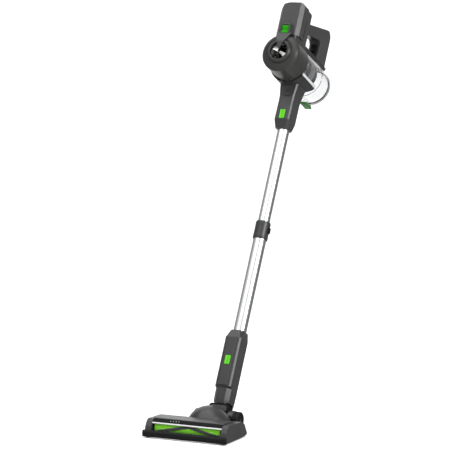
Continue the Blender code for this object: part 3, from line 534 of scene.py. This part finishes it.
def latch():
    body = rounded([(-0.0032, -0.0160), (0.0012, -0.0160), (0.0020, -0.0100), (0.0014, -0.0020),
                    (0.0020, 0.0060), (0.0020, 0.0250), (-0.0032, 0.0250)], 0.0010, 4)
    hook = cuboid((-0.0060, -0.0105, 0.0237), (0.0060, 0.0010, 0.0248))
    ribs = [cuboid((-0.0075, 0.0013, z), (0.0075, 0.0030, z + 0.0010))
            for z in (-0.0140, -0.0115, -0.0090)]
    simple("green_cup_latch", prism(body, -0.0095, 0.0095, "yz"), LATCH, "deep_green", "cup_latch",
           "green", "cup_latch", adds=[hook], cuts=ribs, edge=0.0007, segments=3)
    trough = arc(SADDLE_R, 38, 200, 90) + arc(SADDLE_R + 0.003, 200, 38, 90)
    heel = [(0.0380, 0.0490), (0.0700, 0.0490), (0.0700, 0.0240)]
    # the cradle takes the shaded copy of the shell plastic: painted shade
    simple("cup_cradle_shell", prism(trough, -0.0457, 0.047, "xy"), DRUM, "shade", "main_unit",
           "shell", "cup_cradle", edge=0.0006, segments=2, angle=50,
           cuts=[prism(heel, -0.07, 0.07, "yz")])
    # a pale strip along each upper edge of the cradle, seven degrees wide up to the angle given: painted
    # highlight of the cradle's lit edge
    for side, edge in ((-1, -20.5), (1, 37.5)):
        lit_strip = [(side * r * math.cos(math.radians(a)), r * math.sin(math.radians(a)))
                for r, a in ((0.0549, edge), (0.0582, edge), (0.0570, edge - 7), (0.0549, edge - 7))]
        simple(f"cup_lit_strip_{'right' if side < 0 else 'left'}", prism(lit_strip, -0.0450, 0.0465, "xy"), DRUM,
               "pale", "main_unit", "clear", edge=0.0008, segments=3, angle=40)


# ---- column, battery and handle ---------------------------------------------------------------
def front_silhouette(radius):
    """Front outline of the box with its two top corners rounded."""
    half = BOX_W / 2
    return rounded([(-half, 1.03, 0), (half, 1.03, 0), (half, BOX_TOP, radius), (-half, BOX_TOP, radius)],
                   radius, 14)


def column():
    half = BOX_W / 2
    front = -0.0665
    side = rounded([(front, 1.050, 0), (BOX_BACK, 1.050, 0), (BOX_BACK, BOX_TOP, 0.011),
                    (-0.0560, BOX_TOP, 0.006), (front, BOX_TOP - 0.007, 0.003)], 0.002, 8)
    obj = as_object("rear_column", prism(side, -half, half, "yz"), STICK)
    carve(obj, [prism(front_silhouette(0.012), -0.08, -0.02, "xz")], "INTERSECT")
    dock = prism(rounded([(-half, -0.0500, 0), (-half, BOX_FRONT, 0.008), (half, BOX_FRONT, 0.008),
                          (half, -0.0500, 0)], 0.008, 6), 1.0560, FOOT - 0.0003, "xy")
    band = arc(SADDLE_R, -118, -62, 40) + arc(SADDLE_R + 0.0095, -62, -118, 40)
    spine = as_object("spine", prism(band, BOX_BACK - 0.012, 0.1250, "xy"), DRUM)
    carve(spine, [cuboid((-0.0185, -0.0642, 0.1140), (0.0185, -0.0500, 0.1400))])
    hood = arc(0.0642, -104, -76, 24) + arc(SADDLE_R + 0.0095, -76, -104, 24)
    carve(spine, [prism(hood, 0.1100, 0.1400, "xy")], "UNION")
    spine.data.transform(STICK.inverted() @ DRUM)
    spine_bm = bmesh.new()
    spine_bm.from_mesh(spine.data)
    bpy.data.objects.remove(spine, do_unlink=True)
    carve(obj, [dock, spine_bm], "UNION")
    saddle = bar((0, -0.16, DRUM_T), (0, 0.20, DRUM_T), SADDLE_R - 0.0002, sides=192)
    grips = [prism(rounded([(-0.0650, 1.0950), (-0.0600, 1.1500), (-0.0590, 1.0850)], 0.0012, 4),
                   *sorted((s * (half - 0.0016), s * (half + 0.002))), "yz") for s in (-1, 1)]
    carve(obj, [saddle])
    carve(obj, grips)
    bevel(obj, 0.0012, 3, 38)
    finish(obj, "shell", "main_unit", "shell", "main_frame")


def battery():
    half, back, cut, deep = BOX_W / 2 + 0.0035, -0.0668, 0.0100, 0.0105
    plan = [(half, back), (-half, back), (-half, BOX_FRONT + deep), (cut - half, BOX_FRONT),
            (half - cut, BOX_FRONT), (half, BOX_FRONT + deep)]
    obj = as_object("battery_shell", prism(plan, FOOT, BOX_TOP, "xy"), STICK)
    face = [(-half, 1.03), (half, 1.03)]
    for side, across, down in ((1, 0.010, 0.009), (-1, 0.033, 0.022)):
        bend = [(side * (half - across * (1 - math.cos(turn))), BOX_TOP - down * (1 - math.sin(turn)))
                for turn in (math.radians(90) * k / 20 for k in range(21))]
        face += bend if side > 0 else bend[::-1]
    carve(obj, [prism(face, -0.12, -0.05, "xz")], "INTERSECT")
    bevel(obj, 0.0020, 3, 30)
    settle(obj)
    plinth = [[(x, u, t) for x, t in rounded([(-w, FOOT, 0), (w, FOOT, 0), (w, top, 0.9 * w),
                                              (-w, top, 0.9 * w)], 0.01, 12)]
              for u, w, top in ((BOX_FRONT + 0.003, 0.0205, 1.1130), (PLINTH + 0.0022, 0.0155, 1.1065),
                                (PLINTH + 0.0006, 0.0147, 1.1055), (PLINTH, 0.0136, 1.1042))]
    carve(obj, [loft(plinth)], "UNION")
    pocket = rounded([(-0.0110, 1.0740, 0), (0.0110, 1.0740, 0), (0.0110, 1.1005), (-0.0110, 1.1005)],
                     0.004, 6)
    grips = []
    for s in (-1, 1):
        low, high = sorted((s * (half - 0.0018), s * (half + 0.002)))
        grips.append(prism(rounded([(-0.0715, 1.0850, 0.002), (-0.0690, 1.1500, 0.0006),
                                    (-0.0672, 1.1200, 0.001), (-0.0672, 1.0850, 0.001)], 0.001, 5),
                           low, high, "yz"))
    carve(obj, [prism(pocket, PLINTH - 0.002, PLINTH + 0.0075, "xz"),
                cuboid((-half + 0.0025, -0.0975, 1.0700), (half - 0.0025, -0.0690, 1.1700))] + grips)
    bevel(obj, 0.0005, 2, 50)
    finish(obj, "shell", "battery", "shell", "battery_case", soft=32)
    profile = rounded([(PLINTH + 0.0055, 1.0752), (PLINTH - 0.0014, 1.0752), (PLINTH - 0.0026, 1.0780),
                       (PLINTH - 0.0016, 1.0806), (PLINTH + 0.0034, 1.0846), (PLINTH + 0.0030, 1.0870),
                       (PLINTH - 0.0008, 1.0955), (PLINTH + 0.0006, 1.0985), (PLINTH + 0.0055, 1.0985)],
                      0.0010, 4)
    simple("green_battery_latch", prism(profile, -0.0095, 0.0095, "yz"), STICK, "dark_green",
           "battery_latch", "green", "battery_latch", edge=0.0009, segments=3)


def handle():
    half = 0.017
    outline = rounded([(BOX_BACK + 0.0003, 1.1445, 0), (BOX_BACK + 0.0003, 1.1140, 0.003),
                       (0.0745, 1.1410, 0.012), (0.0845, 1.1310, 0.010), (0.0845, 1.0650, 0),
                       (0.1425, 1.0650, 0), (0.1425, 1.1790, 0.020), (0.1270, 1.1935, 0.016),
                       (0.0566, 1.1725, 0.03)], 0.01, 10)
    obj = as_object("handle_shell", prism(outline, -half, half, "yz"), STICK)
    bevel(obj, 0.0130, 8, 60)
    settle(obj)
    carve(obj, [bar((0, -0.16, DRUM_T), (0, 0.20, DRUM_T), SADDLE_R + 0.0098, sides=192)])
    carve(obj, [cuboid((-0.0080, 0.0700, 1.1060), (0.0080, 0.1000, 1.1290)),
                bar((0, 0.0900, 1.1700), (0, 0.0795, 1.2030), 0.0068),
                cuboid((-0.0125, 0.0980, 1.0900), (0.0125, 0.1330, 1.1680)),
                cuboid((-0.0108, 0.0815, 1.0845), (0.0108, 0.0850, 1.1045))])
    finish(obj, "shell", "main_unit", "shell", "handle_left_shell", "handle_right_shell", soft=35)
    insert = as_object("grip_pad", cuboid((-0.0100, 0.0812, 1.0850), (0.0100, 0.0840, 1.1040)), STICK)
    carve(insert, [bar((0, -0.16, DRUM_T), (0, 0.20, DRUM_T), SADDLE_R + 0.0098, sides=96)])
    bevel(insert, 0.0009, 3)
    finish(insert, "rubber", "main_unit", "rubber", "grip_insert")
    curve = rounded([(0.0940, 1.1065, 0.0005), (0.0940, 1.1285, 0.0005), (0.0765, 1.1285, 0.002),
                     (0.0755, 1.1255, 0.002), (0.0772, 1.1170, 0.008), (0.0755, 1.1090, 0.002),
                     (0.0760, 1.1065, 0.001)], 0.001, 8)
    simple("trigger_lever", prism(curve, -0.0075, 0.0075, "yz"), STICK, "black", "trigger", "black",
           "trigger", edge=0.0010)
    tilt = STICK @ Matrix.Translation((0, 0.08822, 1.1755)) @ Matrix.Rotation(math.radians(17.6), 4, "X")
    simple("power_key", lathe([(0, 0.0089), (0.0040, 0.0085, 0.002), (0.0062, 0.0080, 0.0008),
           (0.0062, 0), (0, 0)], 48, 0.0006), tilt, "gloss_black", "power_button", "black",
           "power_button")


# ---- socket under the drum ---------------------------------------------------------------------
def nozzle():
    cut = 0.0055
    sections = [octagon(0.835, 0.0200, -0.0165, 0.0252, 0.0080),
                octagon(0.859, 0.0232, -0.0255, 0.0300, cut, 0.0065),
                octagon(0.915, 0.0232, -0.0235, 0.0310, cut, 0.0065),
                octagon(0.930, 0.0236, -0.0235, 0.0325, cut, 0.0065),
                octagon(0.967, 0.0285, -0.0255, 0.0395, cut, 0.0070),
                octagon(0.985, 0.0380, -0.0262, 0.0430, cut, 0.0070)]
    obj = as_object("socket_shell", loft(sections), STICK)
    bevel(obj, 0.0016, 3, 12)
    settle(obj)
    bezel = rounded([(-0.0100, 0.8580), (0.0100, 0.8580), (0.0100, 0.8890), (-0.0100, 0.8890)], 0.003, 6)
    hole = rounded([(-0.0078, 0.8602), (0.0078, 0.8602), (0.0078, 0.8868), (-0.0078, 0.8868)], 0.002, 6)
    carve(obj, [bar((0, TUBE_U, 0.80), (0, TUBE_U, 0.9300), 0.0175, sides=96),
                bar((0, 0.002, 0.9290), (0, 0.002, 1.00), 0.0120),
                prism(bezel, -0.0340, -0.0242, "xz"), prism(hole, -0.0340, -0.0185, "xz"),
                bar((0, -0.16, DRUM_T), (0, 0.20, DRUM_T), SADDLE_R + 0.0033, sides=192)])
    bevel(obj, 0.0005, 2, 40)
    finish(obj, "shell", "main_unit", "shell", "nozzle_shell", soft=30)
    key = rounded([(-0.0074, 0.8606), (0.0074, 0.8606), (0.0074, 0.8864), (-0.0074, 0.8864)], 0.0020, 6)
    green_key("green_wand_key", key, -0.0270, -0.0215, 0.8735, "wand_button", "wand_release_button")
    # thumb panel: flat above, ending in a rounded tab with a scooped hollow
    tab = rounded([(-0.0195, 0.9670, 0.001), (-0.0150, 0.9360, 0.009), (-0.0060, 0.9280, 0.006),
                   (0.0060, 0.9280, 0.006), (0.0150, 0.9360, 0.009), (0.0195, 0.9670, 0.001)], 0.004, 10)
    panel = as_object("thumb_panel", prism(tab, -0.0340, -0.0150, "xz"), STICK)
    slope = [octagon(0.9260, 0.0215, -0.0252, -0.0230, 0.0004),
             octagon(0.9330, 0.0215, -0.0264, -0.0230, 0.0004),
             octagon(0.9680, 0.0225, -0.0292, -0.0250, 0.0004)]
    carve(panel, [loft(slope)], "INTERSECT")
    carve(panel, [bar((0.0010, -0.0375, 0.9400), (0.0010, -0.0258, 0.9490), 0.0105, 0.0062)])
    bevel(panel, 0.0007, 3, 35)
    finish(panel, "shell", "main_unit", "shell", "nozzle_front_panel")


def green_key(name, outline, front, back, middle, body, node):
    """A push key whose face is scooped along its length."""
    obj = as_object(name, prism(outline, front, back, "xz"), STICK)
    carve(obj, [bar((-0.0022, front - 0.0078, middle - 0.03), (-0.0022, front - 0.0078, middle + 0.03),
                    0.0090, sides=96)])
    bevel(obj, 0.0007, 3, 35)
    finish(obj, "green", body, "green", node)


# ---- wand ---------------------------------------------------------------------------------------
def wand():
    for name, radius, low, high, body, node in (
            ("inner_tube", 0.0172, 0.4620, 0.9285, "main_unit", "upper_tube"),
            ("outer_tube", 0.0187, 0.1700, 0.5350, "lower_wand", "lower_tube")):
        simple(name, lathe([(radius, high), (radius, low), (radius - 0.001, low), (radius - 0.001, high)],
                           128, 0.0003), TUBES, "steel", body, "steel", node)
    low, high = 0.510, 0.562
    simple("clamp_ring", lathe([(0.0186, high), (0.0202, high - 0.0006), (0.0212, high - 0.0050, 0.002),
           (0.0208, 0.5480), (0.0208, 0.5300), (0.0212, low + 0.0060), (0.0206, low + 0.0015),
           (0.0200, low), (0.0190, low), (0.0190, 0.5353), (0.0175, 0.5353), (0.0175, high)],
           96, 0.0005), TUBES, "shell", "lower_wand", "shell", "clamp_collar")
    slider = as_object("clamp_slider", cuboid((0.0190, -0.0055, 0.5300), (0.0240, 0.0055, 0.5460)), TUBES)
    carve(slider, [bar((0, 0, 0.50), (0, 0, 0.58), 0.0214, sides=96)]
          + [cuboid((0.0234, -0.0060, t), (0.0250, 0.0060, t + 0.0011))
             for t in (0.5340, 0.5370, 0.5400)])
    bevel(slider, 0.0006, 3)
    finish(slider, "black", "collar_slider", "black", "collar_slider")


# ---- connector and neck ----------------------------------------------------------------------------
def connector():
    half, front, back = 0.0245, -0.0290, 0.0270
    cut = 0.0060
    sections = [octagon(-0.0040, 0.0190, 0.0100, back, 0.0030, 0.0040),
                octagon(0.0275, half - 0.0020, -0.0230, back, 0.0110, 0.0060),
                octagon(0.0420, half - 0.0005, -0.0258, back, 0.0120, 0.0065),
                octagon(0.0735, half, -0.0263, back, 0.0120, 0.0065),
                octagon(0.0765, half, front, back, cut, 0.0065),
                octagon(0.2170, half, front, back, cut, 0.0065),
                octagon(0.241, 0.0204, -0.0175, 0.0264, 0.0080)]
    obj = as_object("connector_body", loft(sections), STICK)
    bevel(obj, 0.0016, 3, 12)
    settle(obj)
    hole = rounded([(-0.0079, 0.1376), (0.0079, 0.1376), (0.0079, 0.1634), (-0.0079, 0.1634)], 0.002, 6)
    carve(obj, [bar((0, TUBE_U, 0.1697), (0, TUBE_U, 0.26), 0.0190, sides=96),
                bar((0, 0, 0.04), (0, 0, 0.1705), 0.0150),
                cuboid((-0.0168, -0.0176, 0.0250), (0.0168, 0.0155, 0.0505))])
    carve(obj, [bar((0, -0.0176, 0.0480), (0, 0.0155, 0.0480), 0.0168, sides=64),
                cuboid((-0.06, -0.0400, -0.02), (0.06, -0.0170, 0.0300)),
                cuboid((-0.06, -0.0176, -0.02), (0.06, 0.0156, 0.0335)),
                bar((0, 0.0, 0.036), (0, 0.05, 0.036), 0.0042, sides=32),
                prism(hole, -0.0340, -0.0235, "xz")])
    bevel(obj, 0.0005, 2, 40)
    finish(obj, "shell", "lower_wand", "shell", "connector_shell", soft=30)
    plate = as_object("connector_plate", loft([
        [(0.0140, front - 0.0003, t), (0.0125, front - 0.0027, t), (-0.0125, front - 0.0027, t),
         (-0.0140, front - 0.0003, t)] for t in (0.0790, 0.2160)]), STICK)
    carve(plate, [prism(hole, -0.0360, -0.0240, "xz")])
    bevel(plate, 0.0009, 3, 30)
    finish(plate, "shell", "lower_wand", "shell", "connector_front_panel", soft=30)
    key = rounded([(-0.0075, 0.1380), (0.0075, 0.1380), (0.0075, 0.1630), (-0.0075, 0.1630)], 0.0020, 6)
    green_key("green_head_key", key, -0.0330, -0.0255, 0.1505, "head_button", "head_release_button")
    outer = rounded([(-0.0300, 0.0080, 0), (-0.0300, 0.0292), (0.0300, 0.0292), (0.0300, 0.0080, 0)],
                    0.0200, 10)
    inner = rounded([(-0.0245, 0.0082, 0), (-0.0245, 0.0240), (0.0245, 0.0240), (0.0245, 0.0082, 0)],
                    0.0160, 10)
    # a black arched plate round the grey neck face: painted shadow of the gap between the connector and
    # the neck
    simple("neck_gap_shadow", prism(outer, -0.0232, -0.0177, "xz"), STICK, "black", "lower_wand", "shell",
           edge=0.0016)
    simple("neck_face", prism(inner, -0.0246, -0.0234, "xz"), STICK, "shell", "lower_wand", "shell",
           edge=0.0005)
    neck = as_object("neck_joint", bar((-0.0285, 0, 0), (0.0285, 0, 0), 0.0150, sides=96), STICK)
    bevel(neck, 0.0012, 3)
    settle(neck)
    carve(neck, [cuboid((-0.0085, -0.0120, 0.0), (0.0085, 0.0100, 0.036)),
                 bar((0, -0.0155, 0.036), (0, 0.0130, 0.036), 0.0135, sides=96)], "UNION")
    carve(neck, [bar((-0.05, 0, 0), (0.05, 0, 0), 0.0043, sides=32),
                 bar((0, -0.0100, 0.036), (0, 0.05, 0.036), 0.0043, sides=32)])
    bevel(neck, 0.0006, 3, 45)
    finish(neck, "shell", "neck", "shell", "neck")


# ---- floor head ---------------------------------------------------------------------------------
def top_cover():
    skin = rounded([(-0.1912, 0.0450), (-0.1912, 0.0500, 0.001), (-0.1870, 0.0508, 0.002),
                    (-0.1180, 0.0450, 0.02), (-0.1000, 0.0365, 0.010), (-0.0830, 0.0090, 0.002),
                    (-0.0830, 0.0070)], 0.0008, 10)
    cover = as_object("head_cover", prism(skin, -INNER, INNER, "yz"), HEAD)
    radius, wall, dome_y = 0.0606, 0.0025, -0.072
    base = DOME_TOP - radius
    dome = lathe(ball_top(radius, base, 72), 128, 0)
    room = lathe(ball_top(radius - wall, base, 84), 128, 0)
    for ball in (dome, room):
        bmesh.ops.translate(ball, vec=(0, dome_y, 0), verts=ball.verts)
    under = prism([(-0.1900, 0.0400), (-0.1880, 0.0460), (-0.1180, 0.0425), (-0.1015, 0.0345),
                   (-0.0855, 0.0085), (-0.0820, 0.0010), (-0.1900, 0.0010)],
                  -INNER - 0.01, INNER + 0.01, "yz")
    carve(cover, [dome], "UNION")
    carve(cover, [under, room])
    carve(cover, [cuboid((-0.08, -0.0330, 0.0), (0.08, 0.05, 0.12)),
                  cuboid((-0.0475, -0.0950, 0.0), (0.0475, -0.0200, 0.0310))])
    bevel(cover, 0.0008, 3, 28)
    finish(cover, "shell", "head", "shell", "top_cover", soft=28)


def side_outline():
    return rounded([(-0.2120, 0.0030, 0.002), (-0.2135, 0.0060, 0.002), (-0.2135, 0.0200, 0.006),
                    (-0.2090, 0.0310, 0.010), (-0.2010, 0.0430, 0.010), (-0.1930, 0.0480, 0.006),
                    (-0.1180, 0.0450, 0.02), (-0.1000, 0.0365, 0.010), (-0.0830, 0.0090, 0.004),
                    (-0.0870, 0.0040, 0.002), (-0.1200, 0.0020, 0.004)], 0.003, 8)


def head_shells():
    half = HEAD_W / 2
    for side, name in ((-1, "right"), (1, "left")):
        low, high = sorted((side * (half - CAP_W), side * half))
        cap = as_object("end_cap_" + name + "_shell", prism(side_outline(), low, high, "yz"), HEAD)
        near, far = sorted((side * 0.1040, side * 0.1180))
        carve(cap, [cuboid((near, -0.2115, -0.01), (far, -0.1965, 0.0140))])
        bevel(cap, 0.0026, 5, 42)
        finish(cap, "shell", "head", "shell", "end_cap_" + name, soft=35)
        simple("roller_" + name, lathe([(0, 0.0055), (0.0018, 0.0055), (0.0020, 0.0050), (0.0050, 0.0050),
               (0.0062, 0.0042, 0.001), (0.0062, -0.0042, 0.001), (0.0050, -0.0050), (0.0020, -0.0050),
               (0.0018, -0.0055), (0, -0.0055)], 48, 0.0004),
               HEAD @ Matrix.Translation((side * 0.1110, -0.2040, 0.0062)) @ TO_X, "rubber",
               "roller_" + name, "rubber", "front_roller_" + name)
        tread = [(0.0205, 0.008), (0.0220, 0.0080), (WHEEL_R, 0.0062), (WHEEL_R, 0.0030),
                 (0.0229, 0.0027), (0.0229, 0.0017), (WHEEL_R, 0.0014), (WHEEL_R, -0.0014),
                 (0.0229, -0.0017), (0.0229, -0.0027), (WHEEL_R, -0.0030), (WHEEL_R, -0.0062),
                 (0.0220, -0.0080), (0.0180, -0.0080), (0.0165, -0.0060), (0.0075, -0.0060),
                 (0.0065, -0.0080), (0.0031, -0.0080), (0.0031, 0.0080), (0.0065, 0.0080),
                 (0.0075, 0.0060), (0.0165, 0.0060), (0.0180, 0.0080)]
        simple("wheel_" + name + "_tyre", lathe(tread, 96, 0.0004),
               HEAD @ Matrix.Translation((side * 0.0585, WHEEL_Y, WHEEL_R)) @ TO_X, "rubber",
               "wheel_" + name, "rubber", "rear_wheel_" + name)
    lip = rounded([(-0.2138, 0.0060), (-0.2150, 0.0215), (-0.2190, 0.0205), (-0.2222, 0.0165),
                   (-0.2225, 0.0080), (-0.2200, 0.0030), (-0.2138, 0.0030)], 0.0022, 6)
    bumper = as_object("bumper_strip", prism(lip, -half - 0.0030, half + 0.0030, "yz"), HEAD)
    carve(bumper, [cuboid((-0.0800, -0.2300, 0.0), (0.0800, -0.2217, 0.0080))])
    bevel(bumper, 0.0022, 5, 45)
    finish(bumper, "rubber", "head", "rubber", "front_bumper", soft=35)
    # a thin satin silver bar along the window's top edge: painted highlight of the clear window's edge
    highlight_line = rounded([(-0.2034, 0.0376), (-0.2026, 0.0372), (-0.2003, 0.0404), (-0.2013, 0.0411)],
                   0.0005, 3)
    simple("window_highlight_bar", prism(highlight_line, -INNER - 0.004, INNER + 0.004, "yz"), HEAD,
           "silver", "head", "silver", "window_bar", edge=0.0004, segments=3)
    lamp_face = rounded([(-0.2012, 0.0416), (-0.1998, 0.0408), (-0.1915, 0.0430), (-0.1915, 0.0492),
                         (-0.1940, 0.0492)], 0.0006, 3)
    simple("lamp_bar", prism(lamp_face, -INNER, INNER, "yz"), HEAD,
           "black", "head", "black", "led_strip", edge=0.0005, segments=3)
    for index in range(4):
        x = -0.0500 + 0.0080 * index
        lens = lathe([(0, 0.0008), (0.0010, 0.0006, 0.0006), (0.0016, -0.0004), (0, -0.0004)], 24, 0.0001)
        simple(f"lamp_lens_{index}", lens, HEAD @ Matrix.Translation((x, -0.1970, 0.0462))
               @ Matrix.Rotation(math.radians(46), 4, "X"), "lamp", "head", "black")


def brush():
    axis = HEAD @ Matrix.Translation((0, *BRUSH)) @ TO_X
    left, right, nap_left = -0.0905, 0.0965, -0.0985
    simple("brush_shaft", lathe([(0, right + 0.0045), (0.0030, right + 0.0045), (0.0030, right),
           (0.0125, right), (0.0125, left), (0.0100, left), (0.0100, left - 0.0010),
           (0.0090, left - 0.0010), (0.0090, left - 0.0065), (0.0030, left - 0.0065),
           (0.0030, -0.1010), (0, -0.1010)], 64, 0.0003), axis, "black", "brush", "green", "brush_core")
    roller = []
    sides = 72
    for step in range(95):
        x = nap_left + (right - 0.0012 - nap_left) * step / 94
        end = min(1.0, (min(x - nap_left, right - x)) / 0.004)
        ring = []
        for k in range(sides):
            angle = math.tau * k / sides
            tuft = 0.00035 * math.sin(13 * angle + 190 * x) + 0.00025 * math.sin(29 * angle - 410 * x)
            radius = 0.0168 - 0.0022 * (1 - end) ** 2 + tuft
            ring.append((x, radius * math.cos(angle), radius * math.sin(angle)))
        roller.append(ring)
    nap_roll = as_object("brush_nap", loft(roller), HEAD @ Matrix.Translation((0, *BRUSH)))
    finish(nap_roll, "green_nap", "brush", "bristle", soft=80)
    for name, start in (("bristle_strip_a", 142.0), ("bristle_strip_b", 322.0)):
        sections = []
        for step in range(89):
            share = step / 88
            x = left + 0.002 + (right - left - 0.004) * share
            turn = math.radians(start + abs(2 * share - 1) * 64)
            fray = 0.0004 * math.sin(1900 * x) + 0.0002 * math.sin(5200 * x)
            ring = [(0.0150, 0.27), (0.0185, 0.23), (0.0198 + fray, 0.16), (0.0194 - fray, 0.07),
                    (0.0199, 0.0), (0.0194 + fray, -0.08), (0.0198 - fray, -0.16), (0.0185, -0.23),
                    (0.0150, -0.27)]
            sections.append([(x, r * math.cos(turn + a), r * math.sin(turn + a)) for r, a in ring])
        strip = as_object(name + "_tufts", loft(sections), HEAD @ Matrix.Translation((0, *BRUSH)))
        finish(strip, "bristle", "brush", "bristle", name, soft=80)


# ---- studio -------------------------------------------------------------------------------------
def area(name, location, target, size, power, size_y=None, gloss=1.0):
    light = bpy.data.lights.new(name, "AREA")
    light.energy, light.size, light.specular_factor = power, size, gloss
    if size_y:
        light.shape, light.size_y = "RECTANGLE", size_y
    obj = bpy.data.objects.new(name, light)
    bpy.context.scene.collection.objects.link(obj)
    obj.location = location
    obj.rotation_euler = (Vector(target) - Vector(location)).to_track_quat("-Z", "Y").to_euler()


def studio():
    floor = as_object("studio_floor", cuboid((-60, -60, -0.02), (60, 60, 0)))
    paper = Look("pale_paper", 0.9)
    paper.colour(paper.noise(3.0), (0.95, 0.95, 0.95), (0.96, 0.96, 0.96))
    floor.data.materials.append(paper.material)
    floor.visible_glossy = False
    world = bpy.data.worlds.new("studio_world")
    bpy.context.scene.world = world
    world.use_nodes = True
    tree = world.node_tree
    ring = tree.nodes.new("ShaderNodeTexGradient")
    ring.gradient_type = "RADIAL"
    ramp = tree.nodes.new("ShaderNodeValToRGB")
    tree.links.new(tree.nodes.new("ShaderNodeTexCoord").outputs["Generated"], ring.inputs["Vector"])
    tree.links.new(ring.outputs["Fac"], ramp.inputs["Fac"])
    stops = ramp.color_ramp.elements
    for spot, level in STUDIO_RING[1:-1]:
        stops.new(spot)
    for stop, (spot, level) in zip(stops, STUDIO_RING):
        stop.position = spot
        stop.color = (level / RING_STRENGTH,) * 3 + (1,)
    shown = tree.nodes["Background"]
    shown.inputs["Color"].default_value = (1, 1, 1, 1)
    lit = tree.nodes.new("ShaderNodeBackground")
    lit.inputs["Strength"].default_value = RING_STRENGTH
    tree.links.new(ramp.outputs["Color"], lit.inputs["Color"])
    path, mix = tree.nodes.new("ShaderNodeLightPath"), tree.nodes.new("ShaderNodeMixShader")
    tree.links.new(path.outputs["Is Camera Ray"], mix.inputs["Fac"])
    tree.links.new(lit.outputs["Background"], mix.inputs[1])
    tree.links.new(shown.outputs["Background"], mix.inputs[2])
    tree.links.new(mix.outputs["Shader"], tree.nodes["World Output"].inputs["Surface"])
    sun = bpy.data.lights.new("overhead_softbox", "SUN")
    sun.energy, sun.angle, sun.specular_factor = 2.4, math.radians(70), 0.0
    above = bpy.data.objects.new("overhead_softbox", sun)
    bpy.context.scene.collection.objects.link(above)
    above.rotation_euler = Vector((0.10, 0.20, -1.0)).to_track_quat("-Z", "Y").to_euler()
    area("side_softbox", (3.95, -1.07, 2.72), (0, 0, 0.6), 1.5, 170, 2.4, 0.34)
    camera = bpy.data.cameras.new("camera")
    camera.lens, camera.sensor_width = 236.96, 36.0
    camera.clip_end = 100.0
    rig = bpy.data.objects.new("camera", camera)
    bpy.context.scene.collection.objects.link(rig)
    rig.location = (3.502, -7.4217, 1.6877)
    look_at = Vector((0, -0.1728, 0.5262)) - rig.location
    rig.rotation_euler = look_at.to_track_quat("-Z", "Y").to_euler()
    bpy.context.scene.camera = rig
    bpy.context.scene.view_settings.view_transform = "Standard"


# light round the object, by direction: (turn, level), where 0.25 is the front and 0.5 its left side
STUDIO_RING = [(0.0, 0.26), (0.025, 0.36), (0.05, 0.55), (0.10, 0.78), (0.16, 0.78), (0.22, 0.72),
               (0.297, 0.50), (0.358, 0.85), (0.416, 1.1), (0.45, 1.2), (0.495, 0.80), (0.547, 0.32),
               (0.585, 0.20), (0.62, 0.16), (0.66, 0.18), (0.70, 0.35), (0.75, 0.80), (0.80, 1.2),
               (0.88, 1.2), (0.93, 0.50), (0.965, 0.26), (1.0, 0.26)]
RING_STRENGTH = 1.2

KEPT = {m["node"]: m["material_slot"] for m in frame["record"]["subparts"]}
for node, slot in KEPT.items():
    cad = frame["nodes"][node]
    cad.data.materials.clear()
    cad.data.materials.append(LOOKS[slot])

drum()
cup()
column()
battery()
handle()
nozzle()
wand()
connector()
top_cover()
head_shells()
brush()
studio()
